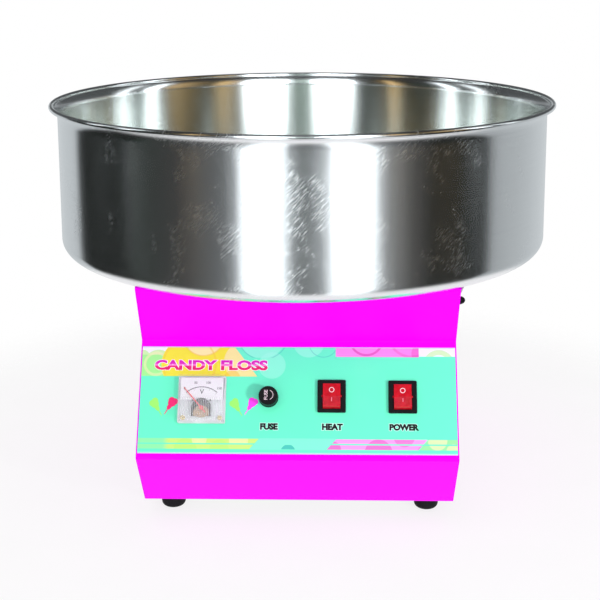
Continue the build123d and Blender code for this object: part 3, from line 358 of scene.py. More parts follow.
class Finish:
    """A material, or the world, while its nodes are being put in."""

    def __init__(self, name, owner=None):
        self.owner = owner or bpy.data.materials.new(name)
        self.owner.use_nodes = True
        self.tree = self.owner.node_tree
        self.tree.nodes.clear()
        self.cache = {}

    def add(self, kind, settings=None, inputs=None):
        """A node with its settings made first and then its sockets filled with numbers, colours or links."""
        node = self.tree.nodes.new(kind)
        for key, value in (settings or {}).items():
            if key == "stops":
                ramp = node.color_ramp
                while len(ramp.elements) < len(value):
                    ramp.elements.new(0.5)
                for element, (place, colour) in zip(ramp.elements, value):
                    element.position = place
                    element.color = (*colour, 1) if len(colour) == 3 else colour
            elif key == "ramp":
                node.color_ramp.interpolation = value
            else:
                setattr(node, key, value)
        for key, value in (inputs or {}).items():
            if isinstance(value, Wire):
                self.tree.links.new(value.socket, node.inputs[key])
            else:
                node.inputs[key].default_value = value
        return node

    def wire(self, kind, settings=None, inputs=None, output=0):
        return Wire(self, self.add(kind, settings, inputs).outputs[output])

    def place(self):
        """The object coordinates as one vector and as x, y, z numbers in metres."""
        if "place" not in self.cache:
            vector = self.wire("ShaderNodeTexCoord", output="Object")
            split = self.add("ShaderNodeSeparateXYZ", {}, {0: vector})
            self.cache["place"] = (vector, *[Wire(self, out) for out in split.outputs])
        return self.cache["place"]

    def stretch(self, scale, vector=None):
        vector = vector or self.place()[0]
        return self.wire("ShaderNodeMapping", {}, {"Vector": vector, "Scale": scale})

    def vector(self, x, y, z):
        return self.wire("ShaderNodeCombineXYZ", {}, {0: x, 1: y, 2: z})

    def noise(self, scale, detail=2.0, rough=0.5, vector=None):
        vector = vector or self.place()[0]
        inputs = {"Vector": vector, "Scale": scale, "Detail": detail, "Roughness": rough}
        return self.wire("ShaderNodeTexNoise", {}, inputs)

    def blend(self, below, above, mask):
        """Two colours mixed by a mask: 0 shows the first and 1 the second."""
        settings = {"data_type": "RGBA", "clamp_factor": True}
        below = below if isinstance(below, Wire) else (*below, 1)
        above = above if isinstance(above, Wire) else (*above, 1)
        return self.wire("ShaderNodeMix", settings, {0: mask, 6: below, 7: above}, output=2)

    def bump(self, height, strength, distance, normal=None):
        inputs = {"Height": height, "Strength": strength, "Distance": distance}
        if normal is not None:
            inputs["Normal"] = normal
        return self.wire("ShaderNodeBump", {}, inputs)

    def soft_edges(self, radius):
        """A normal that rounds the sharp edges of a sheet or moulding."""
        return self.wire("ShaderNodeBevel", {"samples": 4}, {"Radius": radius})

    def surface(self, **inputs):
        """The principled surface; names have underscores for spaces."""
        sockets = {key.replace("_", " "): value for key, value in inputs.items()}
        flat = {key: value for key, value in sockets.items() if "Color" in key and isinstance(value, tuple)}
        sockets.update({key: (*value, 1) for key, value in flat.items()})
        shader = self.add("ShaderNodeBsdfPrincipled", {}, sockets)
        output = self.add("ShaderNodeOutputMaterial")
        self.tree.links.new(shader.outputs[0], output.inputs[0])
        self.owner.diffuse_color = (0.8, 0.8, 0.8, 1)
        return self.owner


# ------------------------------------------------------------------ finishes
def enamel(name, colour):
    """Gloss powder coat with a faint orange peel and slightly darker dust in it."""
    f = Finish(name)
    peel = f.noise(900.0, 2.0)
    cloud = f.noise(9.0, 3.0)
    shade = f.blend(colour, tuple(c * 0.93 for c in colour), cloud.ease(0.35, 0.75))
    normal = f.bump(peel, 0.05, 0.02 * MM, f.soft_edges(0.8 * MM))
    rough = 0.30 + 0.12 * cloud
    return f.surface(Base_Color=shade, Roughness=rough, Normal=normal, Specular_IOR_Level=0.05)


def moulding(name, colour, roughness=0.45, grain=1600.0, depth=0.02, shine=0.35, edge=0.3):
    """Moulded plastic, rubber or ceramic with a fine texture."""
    f = Finish(name)
    fine = f.noise(grain, 3.0)
    cloud = f.noise(35.0, 3.0)
    shade = f.blend(colour, tuple(min(1, c * 1.35 + 0.002) for c in colour), cloud.ease(0.45, 0.8))
    rough = roughness + 0.12 * (fine - 0.5) + 0.08 * cloud
    normal = f.bump(fine, 0.25, depth * MM, f.soft_edges(edge * MM))
    return f.surface(Base_Color=shade, Roughness=rough, Normal=normal, Specular_IOR_Level=shine)


def brushed(name, colour, roughness=0.28, lines=(60, 60, 2400), tarnish=0.12):
    """Rolled or plated metal with a grain along one direction and light tarnish."""
    f = Finish(name)
    grain = f.noise(1.0, 3.0, 0.6, f.stretch(lines))
    cloud = f.noise(22.0, 4.0, 0.6)
    dull = tuple(c * (1 - 2.2 * tarnish) for c in colour)
    shade = f.blend(colour, dull, cloud.ease(0.45, 0.8))
    rough = roughness + 0.16 * (grain - 0.5) + tarnish * cloud
    normal = f.bump(grain, 0.12, 0.02 * MM, f.soft_edges(0.25 * MM))
    return f.surface(Base_Color=shade, Metallic=1.0, Roughness=rough, Normal=normal)


def turned(name, colour, roughness=0.25, pitch=2600.0, tarnish=0.1):
    """Metal cut on a lathe: fine rings about the spinner's axis."""
    f = Finish(name)
    _, x, y, z = f.place()
    radius = (x * x + y * y).root()
    rings = f.noise(1.0, 2.0, 0.5, f.vector(x * 20.0, y * 20.0, (radius + z) * pitch))
    cloud = f.noise(26.0, 3.0)
    shade = f.blend(colour, tuple(c * 0.78 for c in colour), cloud.ease(0.5, 0.85))
    rough = roughness + 0.14 * (rings - 0.5) + tarnish * cloud
    normal = f.bump(rings, 0.2, 0.03 * MM, f.soft_edges(0.3 * MM))
    return f.surface(Base_Color=shade, Metallic=1.0, Roughness=rough, Normal=normal)


def mirror_steel(name, roughness, spread, rubbing, bright=(0.90, 0.92, 0.93), lean=0.0):
    """Spun and polished stainless: fine rings, patches of hand rubbing and a slightly wavy wall."""
    f = Finish(name)
    _, x, y, z = f.place()
    radius = (x * x + y * y).root()
    round_x, round_y = x / radius, y / radius
    rise = radius + z
    along = x.angle_with(-y) * 0.25
    rings = f.noise(1.0, 3.0, 0.6, f.vector(round_x * 2.0, round_y * 2.0, rise * 1500.0))
    wave = f.noise(1.0, 2.0, 0.5, f.vector(round_x * 9.0, round_y * 9.0, rise * 3.0))
    front = (-round_y).ease(0.80, 0.97)
    cloud = f.noise(1.0, 3.0, 0.6, f.vector(round_x * 6.5, round_y * 6.5, rise * 22.0))
    patch = (cloud + 0.10 * front).ease(0.55, 0.70)
    strokes = f.noise(1.0, 3.0, 0.65, f.vector((along - rise) * 900.0, (rise + along) * 80.0, 0.0))
    rub = patch * strokes.ease(0.45, 0.75) * rubbing
    rough = roughness + 0.07 * rings + 0.20 * rub
    shade = f.blend(bright, tuple(c * 0.88 for c in bright), rings)
    wavy = f.bump(wave, 0.6, 0.25 * MM)
    normal = f.bump(rub, 0.4, 0.04 * MM, wavy)
    leaned = f.wire("ShaderNodeVectorMath", {"operation": "ADD"}, {0: normal, 1: (0, 0, lean)})
    normal = f.wire("ShaderNodeVectorMath", {"operation": "NORMALIZE"}, {0: leaned})
    return f.surface(
        Base_Color=shade,
        Metallic=1.0,
        Roughness=rough,
        Normal=normal,
        Anisotropic=spread,
        Anisotropic_Rotation=0.25,
    )


def printed_sheet(name, colours):
    """The panel's printed film: mint ground, a pale cut edge, and soft discs and bands in candy colours."""
    f = Finish(name)
    _, x, y, z = f.place()
    across = x * 1000.0
    top = PANEL_CENTRE.z + PANEL_UP.z * OVERLAY_HEIGHT / 2
    down = (top - z) * (1000.0 / PANEL_UP.z)

    def dot(cx, cy, radius, soft=0.35):
        dx, dy = across - cx, down - cy
        return (dx * dx + dy * dy).root().ease(radius + soft, radius - soft)

    def box(left, right, high, low, lean=0.0, soft=0.3):
        slid = across - down * lean
        return slid.between(left, right, soft) * down.between(high, low, soft)

    mint, pale, yellow, lime, pink, rose, teal, cream, peach, lilac = colours
    def ring(cx, cy, radius, width):
        return dot(cx, cy, radius) * (1 - dot(cx, cy, radius - width))

    def print_on(colour, mask):
        nonlocal sheet
        sheet = f.blend(sheet, colour, mask)

    sheet = f.blend(mint, pale, f.noise(14.0, 3.0).ease(0.5, 0.9) * 0.15)
    # upper left: a lilac corner, a lime swirl and a yellow cloud with cream discs
    cloud = down.ease(29.3, 28.7) * (across - down * 0.76).ease(-60.7, -61.3)
    print_on(lilac, cloud * box(-160, -118, -2, 8))
    print_on(lime, cloud * (dot(-134, 17, 14) + dot(-150, 11, 8) + dot(-146, 26, 8)).least(1.0) * 0.7)
    print_on(cream, cloud * ring(-136, 17, 12, 2.5) * 0.5)
    print_on(yellow, cloud * (dot(-104, 17, 27) + across.ease(-97, -96)).least(1.0))
    print_on(cream, cloud * dot(-91, -11, 20) * 0.8)
    print_on(peach, cloud * ring(-91, -11, 20.5, 1.4) * 0.6)
    print_on(cream, cloud * dot(-52, 14, 19) * 0.65)
    print_on(peach, cloud * ring(-104, 17, 26, 1.6) * 0.5)
    print_on(peach, cloud * dot(-63, 31, 8) * 0.6)
    # upper middle: rings and discs in paler mint
    print_on(pale, dot(-25, 18, 13) * (1 - cloud) * 0.55)
    strip = down.ease(10.7, 10.1) * (1 - cloud)
    print_on(pale, strip * (dot(10, -5, 15) + dot(-35, -13, 24)).least(1.0) * 0.6)
    print_on(teal, strip * (ring(-34, -12, 24.5, 0.9) + ring(24, -4, 14, 0.8)).least(1.0) * 0.4)
    # upper right: a pink window with rose arcs, then lilac with a lime arc
    window = box(35.7, 115, -2, 9.3)
    print_on(pink, window)
    print_on(rose, window * ring(65, -8, 16.5, 2.2) * 0.8)
    print_on(rose, window * ring(108, -13, 23, 2.4) * 0.45)
    print_on(rose, window * dot(119, 6, 11) * 0.55)
    last = box(115, 160, -2, 8.6)
    print_on(lilac, last)
    print_on(lime, last * ring(134, 17, 15, 5) * 0.6)
    # two narrow strips near the foot, with slanted ends
    upper_strip = down.between(89.0, 93.3, 0.25)
    lower_strip = down.between(94.6, 98.9, 0.25)
    strips = upper_strip + lower_strip
    slant = across + down * 0.9
    left_block = slant.ease(44.5, 43.5)
    print_on(lime, strips * left_block * 0.45)
    print_on(yellow, strips * left_block * across.ease(-127, -120) * 0.55)
    print_on(lime, strips * left_block * (dot(-105, 100, 11) + dot(-73, 99, 9)).least(1.0) * 0.55)
    print_on(cream, upper_strip * left_block * (dot(-92, 90, 7) + dot(-55, 91, 9)).least(1.0) * 0.6)
    pink_block = slant.between(116.5, 202, 0.5)
    print_on(pink, strips * pink_block * 0.9)
    print_on(rose, strips * pink_block * (dot(33, 99, 8) + dot(76, 102, 13)).least(1.0) * 0.6)
    print_on(rose, strips * pink_block * (dot(100, 86, 10) + dot(119, 101, 7)).least(1.0) * 0.5)
    last_block = slant.ease(202.5, 203.5)
    print_on(lime, strips * last_block * 0.55)
    print_on(cream, strips * last_block * (dot(131, 90, 9) + dot(146, 100, 7)).least(1.0) * 0.6)
    print_on(pale, down.between(88.5, 99.4, 0.3) * slant.ease(44, 45) * slant.ease(116, 115) * 0.4)
    print_on(teal, lower_strip * dot(-8.5, 101.0, 6.8) * 0.75)
    # cut edges of the film
    print_on((0.46, 0.60, 0.66), (down.ease(0.8, 0.4) + down.ease(101.9, 102.3)).least(1.0) * 0.9)
    fine = f.noise(2200.0, 2.0)
    normal = f.bump(fine, 0.12, 0.01 * MM)
    return f.surface(Base_Color=sheet, Roughness=0.42 + 0.1 * fine, Normal=normal, Specular_IOR_Level=0.2)


def dial_face(name, ink):
    """The meter's scale plate: satin white with a printed arc, ticks and a red end zone."""
    f = Finish(name)
    vector, x, y, z = f.place()
    pivot = Vector(joint("needle_swing")["pos_m"])
    across = (x - pivot.x) * 1000.0
    up = (z - pivot.z) * (1000.0 / PANEL_UP.z)
    radius = (across * across + up * up).root()
    angle = across.angle_with(up) * (180 / pi)
    line = radius.between(21.9, 22.6, 0.08) * abs(angle).ease(41.2, 41.0)
    tick_phase = abs((angle / 4.1 + 100.5).part() - 0.5)
    small = tick_phase.ease(0.06, 0.04) * radius.between(20.9, 22.4, 0.08)
    big_phase = abs((angle / 20.5 + 100.5).part() - 0.5)
    large = big_phase.ease(0.018, 0.012) * radius.between(19.6, 22.4, 0.08)
    ticks = (small + large).least(1.0) * abs(angle).ease(41.4, 41.2)
    mark = (line + ticks).least(1.0)
    speck = f.noise(1500.0, 2.0)
    plate = f.blend((0.74, 0.74, 0.76), (0.70, 0.70, 0.74), speck)
    plate = f.blend(plate, ink, mark * 0.95)
    return f.surface(Base_Color=plate, Roughness=0.5 + 0.1 * speck, Specular_IOR_Level=0.3)


def painted_window_shade(name):
    """The dark arch under the pivot: painted shade, black at its crown, with the copper turns painted bright below
    it.
    """
    f = Finish(name)
    vector, x, y, z = f.place()
    pivot = Vector(joint("needle_swing")["pos_m"])
    across = (x - pivot.x) * 1000.0
    up = (z - pivot.z) * (1000.0 / PANEL_UP.z)
    radius = (across * across + (up + 3.0) * (up + 3.0)).root()
    cloud = f.noise(420.0, 3.0)
    turns = abs((radius * 0.9 + 100.5).part() - 0.5)
    copper = f.blend((0.16, 0.075, 0.030), (0.62, 0.40, 0.22), (cloud * 0.6 + turns * 0.8).ease(0.25, 0.8))
    # painted shade: black towards the arch's crown, over the painted copper turns
    shade = f.blend(copper, (0.006, 0.005, 0.003), radius.ease(6.6, 8.2))
    return f.surface(Base_Color=shade, Roughness=0.45 + 0.1 * cloud, Specular_IOR_Level=0.2)


def lens_red(name):
    """Translucent red switch lens, deeper where it is thick."""
    f = Finish(name)
    _, x, y, z = f.place()
    cloud = f.noise(260.0, 2.0)
    shade = f.blend((0.46, 0.002, 0.012), (0.60, 0.006, 0.02), cloud.ease(0.3, 0.8))
    normal = f.bump(cloud, 0.03, 0.02 * MM, f.soft_edges(0.5 * MM))
    return f.surface(
        Base_Color=shade,
        Roughness=0.16 + 0.08 * cloud,
        Normal=normal,
        Subsurface_Weight=0.25,
        Subsurface_Radius=(0.8, 0.05, 0.05),
        Subsurface_Scale=2 * MM,
        Specular_IOR_Level=0.5,
    )


def clear_plastic(name, density=0.04):
    """Clear moulding: mostly seen through, with a faint milky haze and a bright skin."""
    f = Finish(name)
    haze = f.noise(90.0, 3.0)
    return f.surface(
        Base_Color=(0.90, 0.93, 0.96),
        Roughness=0.05 + 0.05 * haze,
        Alpha=density + 0.05 * haze,
        IOR=1.49,
        Specular_IOR_Level=0.5,
    )


def plain_ink(name, colour, roughness=0.5):
    """Screen-printed ink with a slight mottle."""
    f = Finish(name)
    mottle = f.noise(700.0, 2.0)
    shade = f.blend(colour, tuple(min(1, c * 1.15 + 0.004) for c in colour), mottle)
    return f.surface(Base_Color=shade, Roughness=roughness + 0.1 * mottle, Specular_IOR_Level=0.2)


def title_ink(name, head, shine, foot):
    """Lettering ink in three tones down the letters, with a pale line across their middle."""
    f = Finish(name)
    _, x, y, z = f.place()
    top = panel_place(0, 13.8).z
    fade = (top - z) / (PANEL_UP.z * 8.8 * MM)
    mottle = f.noise(420.0, 2.0)
    shade = f.blend(head, foot, fade.ease(0.45, 0.60))
    shade = f.blend(shade, shine, fade.between(0.38, 0.55, 0.10) * 0.8 + 0.1 * mottle)
    return f.surface(Base_Color=shade, Roughness=0.4 + 0.1 * mottle, Specular_IOR_Level=0.2)


# ------------------------------------------------------------------ settings
def length_setting(words, default, low=0.0, high=2.0):
    name, description = words
    return FloatProperty(
        name=name, description=description, default=default, min=low, max=high, unit="LENGTH", precision=5
    )


def colour_setting(words, default):
    name, description = words
    return FloatVectorProperty(
        name=name, description=description, default=default, subtype="COLOR", size=3, min=0, max=1
    )


class CandyBowlSettings(bpy.types.PropertyGroup):
    gauge: length_setting(("Gauge", "Thickness of the bowl's sheet"), 0.8 * MM)
    corner: length_setting(("Corner radius", "Radius between the bowl's floor and wall"), 14 * MM)
    draw_in: length_setting(("Draw in", "How much narrower the wall is at its top than at its foot"), 2.5 * MM)
    reach: length_setting(("Lip reach", "How far the lip flares out from the wall"), 5.8 * MM)
    lip: length_setting(("Lip rise", "Height of the flared lip"), 12 * MM)
    bead: length_setting(("Bead radius", "Radius of the rolled edge"), 2.5 * MM)
    hole_lip: length_setting(("Hole lip", "Height of the lip round the centre hole"), 9 * MM)
    sides: IntProperty(name="Sides", description="Steps round the bowl", default=256, min=32, max=512)


class CandyPanelSettings(bpy.types.PropertyGroup):
    title: StringProperty(name="Title", description="Words printed at the panel's upper left", default="CANDY FLOSS")
    title_height: length_setting(("Title height", "Height of the title's capitals"), 8.8 * MM)
    label_height: length_setting(("Label height", "Height of the labels' capitals"), 5.4 * MM)
    mint: colour_setting(("Mint", "Ground colour of the printed sheet"), (0.13, 0.82, 0.52))
    magenta: colour_setting(("Magenta", "Colour of the cabinet's enamel"), (0.88, 0.0, 0.88))
    pink: colour_setting(("Pink", "Main colour of the lettering"), (0.80, 0.0, 0.30))


class CandyMeterSettings(bpy.types.PropertyGroup):
    wall: length_setting(("Wall", "Thickness of the clear cover"), 1.4 * MM)
    ribs: IntProperty(name="Ribs", description="Ribs on the lower half of the clear cover", default=24, min=0, max=60)
    rib_width: length_setting(("Rib width", "Width of one rib"), 0.75 * MM)


class CandyStageSettings(bpy.types.PropertyGroup):
    distance: length_setting(("Distance", "Camera's distance along the floor from the spinner's axis"), 1.25, 0.1, 10)
    above_rim: length_setting(("Above rim", "Camera's height above the bowl's rim"), 0.1508, -1, 5)
    azimuth: FloatProperty(name="Azimuth", description="Camera's turn to the viewer's right", default=radians(1.54), subtype="ANGLE")
    pitch: FloatProperty(name="Pitch", description="Camera's tilt down", default=radians(16.47), subtype="ANGLE")
    roll: FloatProperty(name="Roll", description="Camera's roll", default=radians(-0.22), subtype="ANGLE")
    lens: FloatProperty(name="Lens", description="Focal length on a 36 mm sensor", default=71.4, min=10, max=400, unit="CAMERA")
    fill: FloatProperty(name="Fill", description="Strength of the even soft light", default=0.78, min=0, max=10)


# ------------------------------------------------------------------ pieces
class CANDY_OT_bowl(bpy.types.Operator):
    """Spin the steel bowl with its floor, rounded corner, wall, turned lip and rolled edge"""

    bl_idname = "candy.bowl"
    bl_label = "Bowl"

    def execute(self, context):
        s = context.scene.candy_bowl
        low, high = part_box("bowl")
        base, bead_level = low.z, high.z - s.bead
        bead_radius = high.x - s.bead
        wall_top = bead_radius - s.reach
        wall_foot = wall_top + s.draw_in
        lip_foot = bead_level - s.lip
        lip_turn = 2 * atan2(s.reach, s.lip)
        lip_radius = s.lip / sin(lip_turn)
        lip_centre = (wall_top + lip_radius, lip_foot)
        lip_end = 180 - degrees(lip_turn) + degrees(s.bead / lip_radius)
        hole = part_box("head_pan")[1].x + 12 * MM
        rise = lip_foot - base - s.corner
        outside = [(hole, base + s.hole_lip)]
        outside += arc((hole + 3 * MM, base + 3 * MM), 3 * MM, 180, 270, 6)
        outside += arc((wall_foot - s.corner, base + s.corner), s.corner, -90, 0, 20)
        outside += [(wall_foot - s.draw_in * n / 8, base + s.corner + rise * n / 8) for n in range(1, 8)]
        outside += arc(lip_centre, lip_radius, 180, lip_end, 10)
        outside += arc((bead_radius, bead_level), s.bead, 232, 558, 24)
        inside = arc(lip_centre, lip_radius + s.gauge, lip_end, 180, 10)
        inside += [(wall_top + s.draw_in * n / 8 - s.gauge, lip_foot - rise * n / 8) for n in range(1, 8)]
        inside += arc((wall_foot - s.corner, base + s.corner), s.corner - s.gauge, 0, -90, 20)
        inside += arc((hole + 3 * MM, base + 3 * MM), 3 * MM - s.gauge, 270, 180, 6)
        inside += [(hole + s.gauge, base + s.hole_lip)]
        bowl = spun("spun_bowl", outside + inside, s.sides)
        finish_piece(bowl, "bowl", mirror_steel("outer steel", 0.165, 0.78, 1.0))
        # The bowl's inside gets a darker, greenish copy of the steel colour: painted shade inside the bowl.
        bowl.data.materials.append(mirror_steel("shaded inner steel", 0.20, 0.9, 0.2, (0.72, 0.76, 0.74), 0.15))
        for face in bowl.data.polygons:
            outward = face.normal.x * face.center.x + face.normal.y * face.center.y
            flat = abs(face.normal.z) > 0.98
            inner = outward < 0 or (flat and face.normal.z > 0)
            face.material_index = int(inner and face.center.z < lip_foot)
        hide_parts("bowl")
        return {"FINISHED"}


class CANDY_OT_print(bpy.types.Operator):
    """Print the panel: title, labels and the little floss signs"""

    bl_idname = "candy.print"
    bl_label = "Panel print"

    def execute(self, context):
        s = context.scene.candy_panel
        black = plain_ink("label ink", (0.006, 0.006, 0.008))
        white = plain_ink("white ink", (0.86, 0.82, 0.90))
        glow = plain_ink("label glow", (0.55, 0.86, 0.76))
        title = title_ink("title ink", (0.58, 0.0, 0.42), (0.90, 0.28, 0.66), (0.66, 0.0, 0.12))
        spot = panel_place(-83.3, 18.2)
        for name, ink, weight, lift in (
            ("title_outline", white, 1.0 * MM, 0.02 * MM),
            ("title_letters", title, 0.6 * MM, 0.08 * MM),
        ):
            words = lettering(name, s.title, s.title_height, weight)
            width = words.dimensions.x
            words.scale.x = (107 * MM + 2 * weight) / width
            settle(words, on_panel(spot, lift))
            finish_piece(words, "cabinet", ink)
        for word, node in (("FUSE", "fuse_holder"), ("HEAT", "rocker_heat"), ("POWER", "rocker_power")):
            spot = panel_place(middle(node).x / MM + 0.6, 77.4)
            for tag, ink, weight, lift in (
                ("halo", glow, 0.95 * MM, 0.02 * MM),
                ("label", black, 0.50 * MM, 0.08 * MM),
            ):
                label = lettering(f"{tag}_{word.lower()}", word, s.label_height, weight)
                settle(label, on_panel(spot, lift))
                finish_piece(label, "cabinet", ink)
        lime = plain_ink("lime ink", (0.28, 0.86, 0.13))
        rose = plain_ink("rose ink", (0.80, 0.02, 0.16))
        candy = plain_ink("candy ink", (0.95, 0.05, 0.75))
        for tag, across, puff in (("left", -127.4, rose), ("right", -51.3, candy)):
            self.floss_sign(f"sign_lime_{tag}", across - 6.5, 58.6, -1, lime)
            self.floss_sign(f"sign_pink_{tag}", across + 6.9, 57.4, 1, puff)
        return {"FINISHED"}

    def floss_sign(self, name, across, down, lean, ink):
        """A puff of floss on its stick, in one flat colour."""
        film = 0.05 * MM
        blobs = (
            (4.1, (0, 3.0), (0.95, 1.05)),
            (3.0, (1.6, 5.2), (1, 1)),
            (3.0, (-1.7, 4.6), (1, 1)),
            (2.6, (0, -1.2), (0.8, 1.5)),
            (0.45, (0, -7.2), (1, 8.0)),
        )
        puff = []
        for n, (radius, (right, up), stretch) in enumerate(blobs):
            thickness = film * (1 + 0.3 * n)
            puff.append(disc(name, radius * MM, thickness, (right * MM, up * MM), stretch))
        sign = joined(name, puff)
        sign.rotation_euler = (0, 0, radians(-32 * lean))
        settle(sign)
        settle(sign, on_panel(panel_place(across, down), 0.02 * MM))
        finish_piece(sign, "cabinet", ink)


class CANDY_OT_meter(bpy.types.Operator):
    """Build the panel meter's clear ribbed cover, its scale figures and its coil"""

    bl_idname = "candy.meter"
    bl_label = "Meter"

    def execute(self, context):
        s = context.scene.candy_meter
        centre = middle("meter_cover")
        low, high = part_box("meter_cover")
        side = high.x - low.x
        height = 9.4 * MM
        foot = on_panel(centre, 2.6 * MM)
        cover = block("meter_window", (side, side, height), (0, 0, height / 2), 1.0 * MM, 3)
        bpy.ops.object.mode_set(mode="EDIT")
        bpy.ops.mesh.select_all(action="DESELECT")
        bpy.ops.object.mode_set(mode="OBJECT")
        for face in cover.data.polygons:
            face.select = face.normal.z < -0.99
        bpy.ops.object.mode_set(mode="EDIT")
        bpy.ops.mesh.inset(thickness=s.wall)
        bpy.ops.mesh.extrude_region_move(TRANSFORM_OT_translate={"value": (0, 0, height - s.wall)})
        bpy.ops.object.mode_set(mode="OBJECT")
        glass = clear_plastic("clear moulding")
        settle(cover, foot)
        finish_piece(cover, "cabinet", glass)
        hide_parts("meter_cover")
        pitch = (side - 2 * s.wall - 2 * MM) / s.ribs
        rib_top, rib_foot = 0.5 * MM, -side / 2 + s.wall + 0.4 * MM
        place = ((0.5 - s.ribs / 2) * pitch, (rib_top + rib_foot) / 2, height - s.wall - 0.3 * MM)
        rib = block("rib_0", (s.rib_width, rib_top - rib_foot, 0.6 * MM), place, 0.2 * MM, 1)
        ribs = [rib] + [copied(f"rib_{n}", rib, (n * pitch, 0, 0)) for n in range(1, s.ribs)]
        ribs = joined("meter_ribs", ribs)
        settle(ribs, foot)
        finish_piece(ribs, "cabinet", clear_plastic("rib moulding", 0.22))
        ink = plain_ink("dial ink", (0.03, 0.03, 0.04))
        plate = 5.55 * MM
        pivot = Vector(joint("needle_swing")["pos_m"])
        for n, figure in enumerate(("0", "50", "100", "150")):
            swing = radians(-41 + 82 / 3 * n)
            spot = pivot + PANEL_ACROSS * 25.0 * MM * sin(swing) + PANEL_UP * 25.0 * MM * cos(swing)
            words = lettering(f"dial_figure_{figure}", figure, 2.2 * MM, 0.04 * MM, 0.04 * MM)
            settle(words, on_panel(spot, plate))
            finish_piece(words, "cabinet", ink)
        volts = lettering("dial_unit", "V", 4.4 * MM, 0.06 * MM, 0.04 * MM)
        settle(volts, on_panel(pivot + PANEL_UP * 15.6 * MM, plate))
        finish_piece(volts, "cabinet", ink)
        self.movement(pivot)
        return {"FINISHED"}

    def movement(self, pivot):
        """The arched window in the dial with its two rivets, a flat sheet with painted shade at its crown, and the
        turns of copper wire round the magnet.
        """
        shade = painted_window_shade("painted window shade")
        # a flat dark sheet over the dial's window: painted shade where the meter's hollow lies
        arch = disc("painted_shade_window", 9.4 * MM, 0.10 * MM)
        foot_size, foot_place = (18.8 * MM, 8.0 * MM, 0.09 * MM), (0, -4.0 * MM, 0.045 * MM)
        foot = block("painted_shade_window_foot", foot_size, foot_place, 0.02 * MM, 1)
        rivets = [disc("dial_rivet", 0.85 * MM, 0.12 * MM, (side * 8.4 * MM, 7.4 * MM)) for side in (-1, 1)]
        window = joined("painted_shade_window", [arch, foot, *rivets])
        settle(window, on_panel(pivot, 5.52 * MM))
        finish_piece(window, "cabinet", shade)
        copper = brushed("winding copper", (0.80, 0.38, 0.20), 0.35, (60, 2400, 60))
        turns = []
        for n in range(7):
            radius = (4.6 + 0.55 * n) * MM
            ring = spun(f"turn_{n}", arc((radius, 2.3 * MM), 0.3 * MM, 0, 315, 7), 48)
            turns.append(ring)
        coil = joined("meter_winding", turns)
        settle(coil, on_panel(pivot, 2.6 * MM))
        finish_piece(coil, "cabinet", copper)


class CANDY_OT_marks(bpy.types.Operator):
    """Mark the rockers with a ring and a bar, and the fuse cap with its word and arc"""

    bl_idname = "candy.marks"
    bl_label = "Switch and fuse marks"

    def execute(self, context):
        white = plain_ink("mark white", (0.82, 0.66, 0.72))
        rose = plain_ink("mark rose", (0.80, 0.28, 0.36))
        face, throw, bar_drop = 2.34 * MM, radians(20), 3.7 * MM
        rings = [spun("ring_mark_heat", arc((2.2 * MM, 0), 0.30 * MM, 0, 300, 5), 40)]
        rings[0].scale = (1, 1, 0.25)
        settle(rings[0])
        rings.append(copied("ring_mark_power", rings[0]))
        bars = [block("bar_mark_heat", (0.6 * MM, 4.2 * MM, 0.16 * MM), (0, 0, 0), 0.05 * MM, 1)]
        bars.append(copied("bar_mark_power", bars[0]))
        for tag, ring, bar in zip(("heat", "power"), rings, bars):
            hinge = Vector(joint(f"{tag}_switch")["pos_m"])
            settle(ring, self.rocker_face(hinge, 5.8 * MM, face, 0))
            finish_piece(ring, f"{tag}_rocker", white)
            settle(bar, self.rocker_face(hinge, -bar_drop, face + bar_drop * sin(throw) / cos(throw), -20))
            finish_piece(bar, f"{tag}_rocker", rose)
        centre = middle("fuse_holder")
        crown = on_panel(centre, 1.6 * MM + 8.6 * MM)
        word = lettering("fuse_cap_word", "FUSE", 3.2 * MM, 0.02 * MM, 0.05 * MM)
        word.rotation_euler = (0, 0, radians(90))
        word.location = (-2.2 * MM, 0, 0)
        settle(word)
        settle(word, crown)
        finish_piece(word, "fuse_cap", white)
        sweep = spun("fuse_cap_arc", arc((4.6 * MM, 0), 0.22 * MM, 0, 300, 5), 48)
        bpy.ops.object.mode_set(mode="EDIT")
        bpy.ops.mesh.select_all(action="SELECT")
        bpy.ops.mesh.bisect(plane_co=(1.6 * MM, 0, 0), plane_no=(1, 0, 0), clear_inner=True, use_fill=True)
        bpy.ops.object.mode_set(mode="OBJECT")
        sweep.scale = (1, 1, 0.3)
        settle(sweep, crown)
        finish_piece(sweep, "fuse_cap", white)
        return {"FINISHED"}

    def rocker_face(self, hinge, up, out, tilt):
        """A matrix on the rocker's face: up the slope from its pivot and out from it."""
        turn = Matrix((PANEL_ACROSS, PANEL_UP, PANEL_NORMAL)).transposed().to_4x4()
        lean = Matrix.Rotation(radians(tilt), 4, "X")
        origin = hinge + PANEL_UP * up + PANEL_NORMAL * out
        return Matrix.Translation(origin) @ turn @ lean


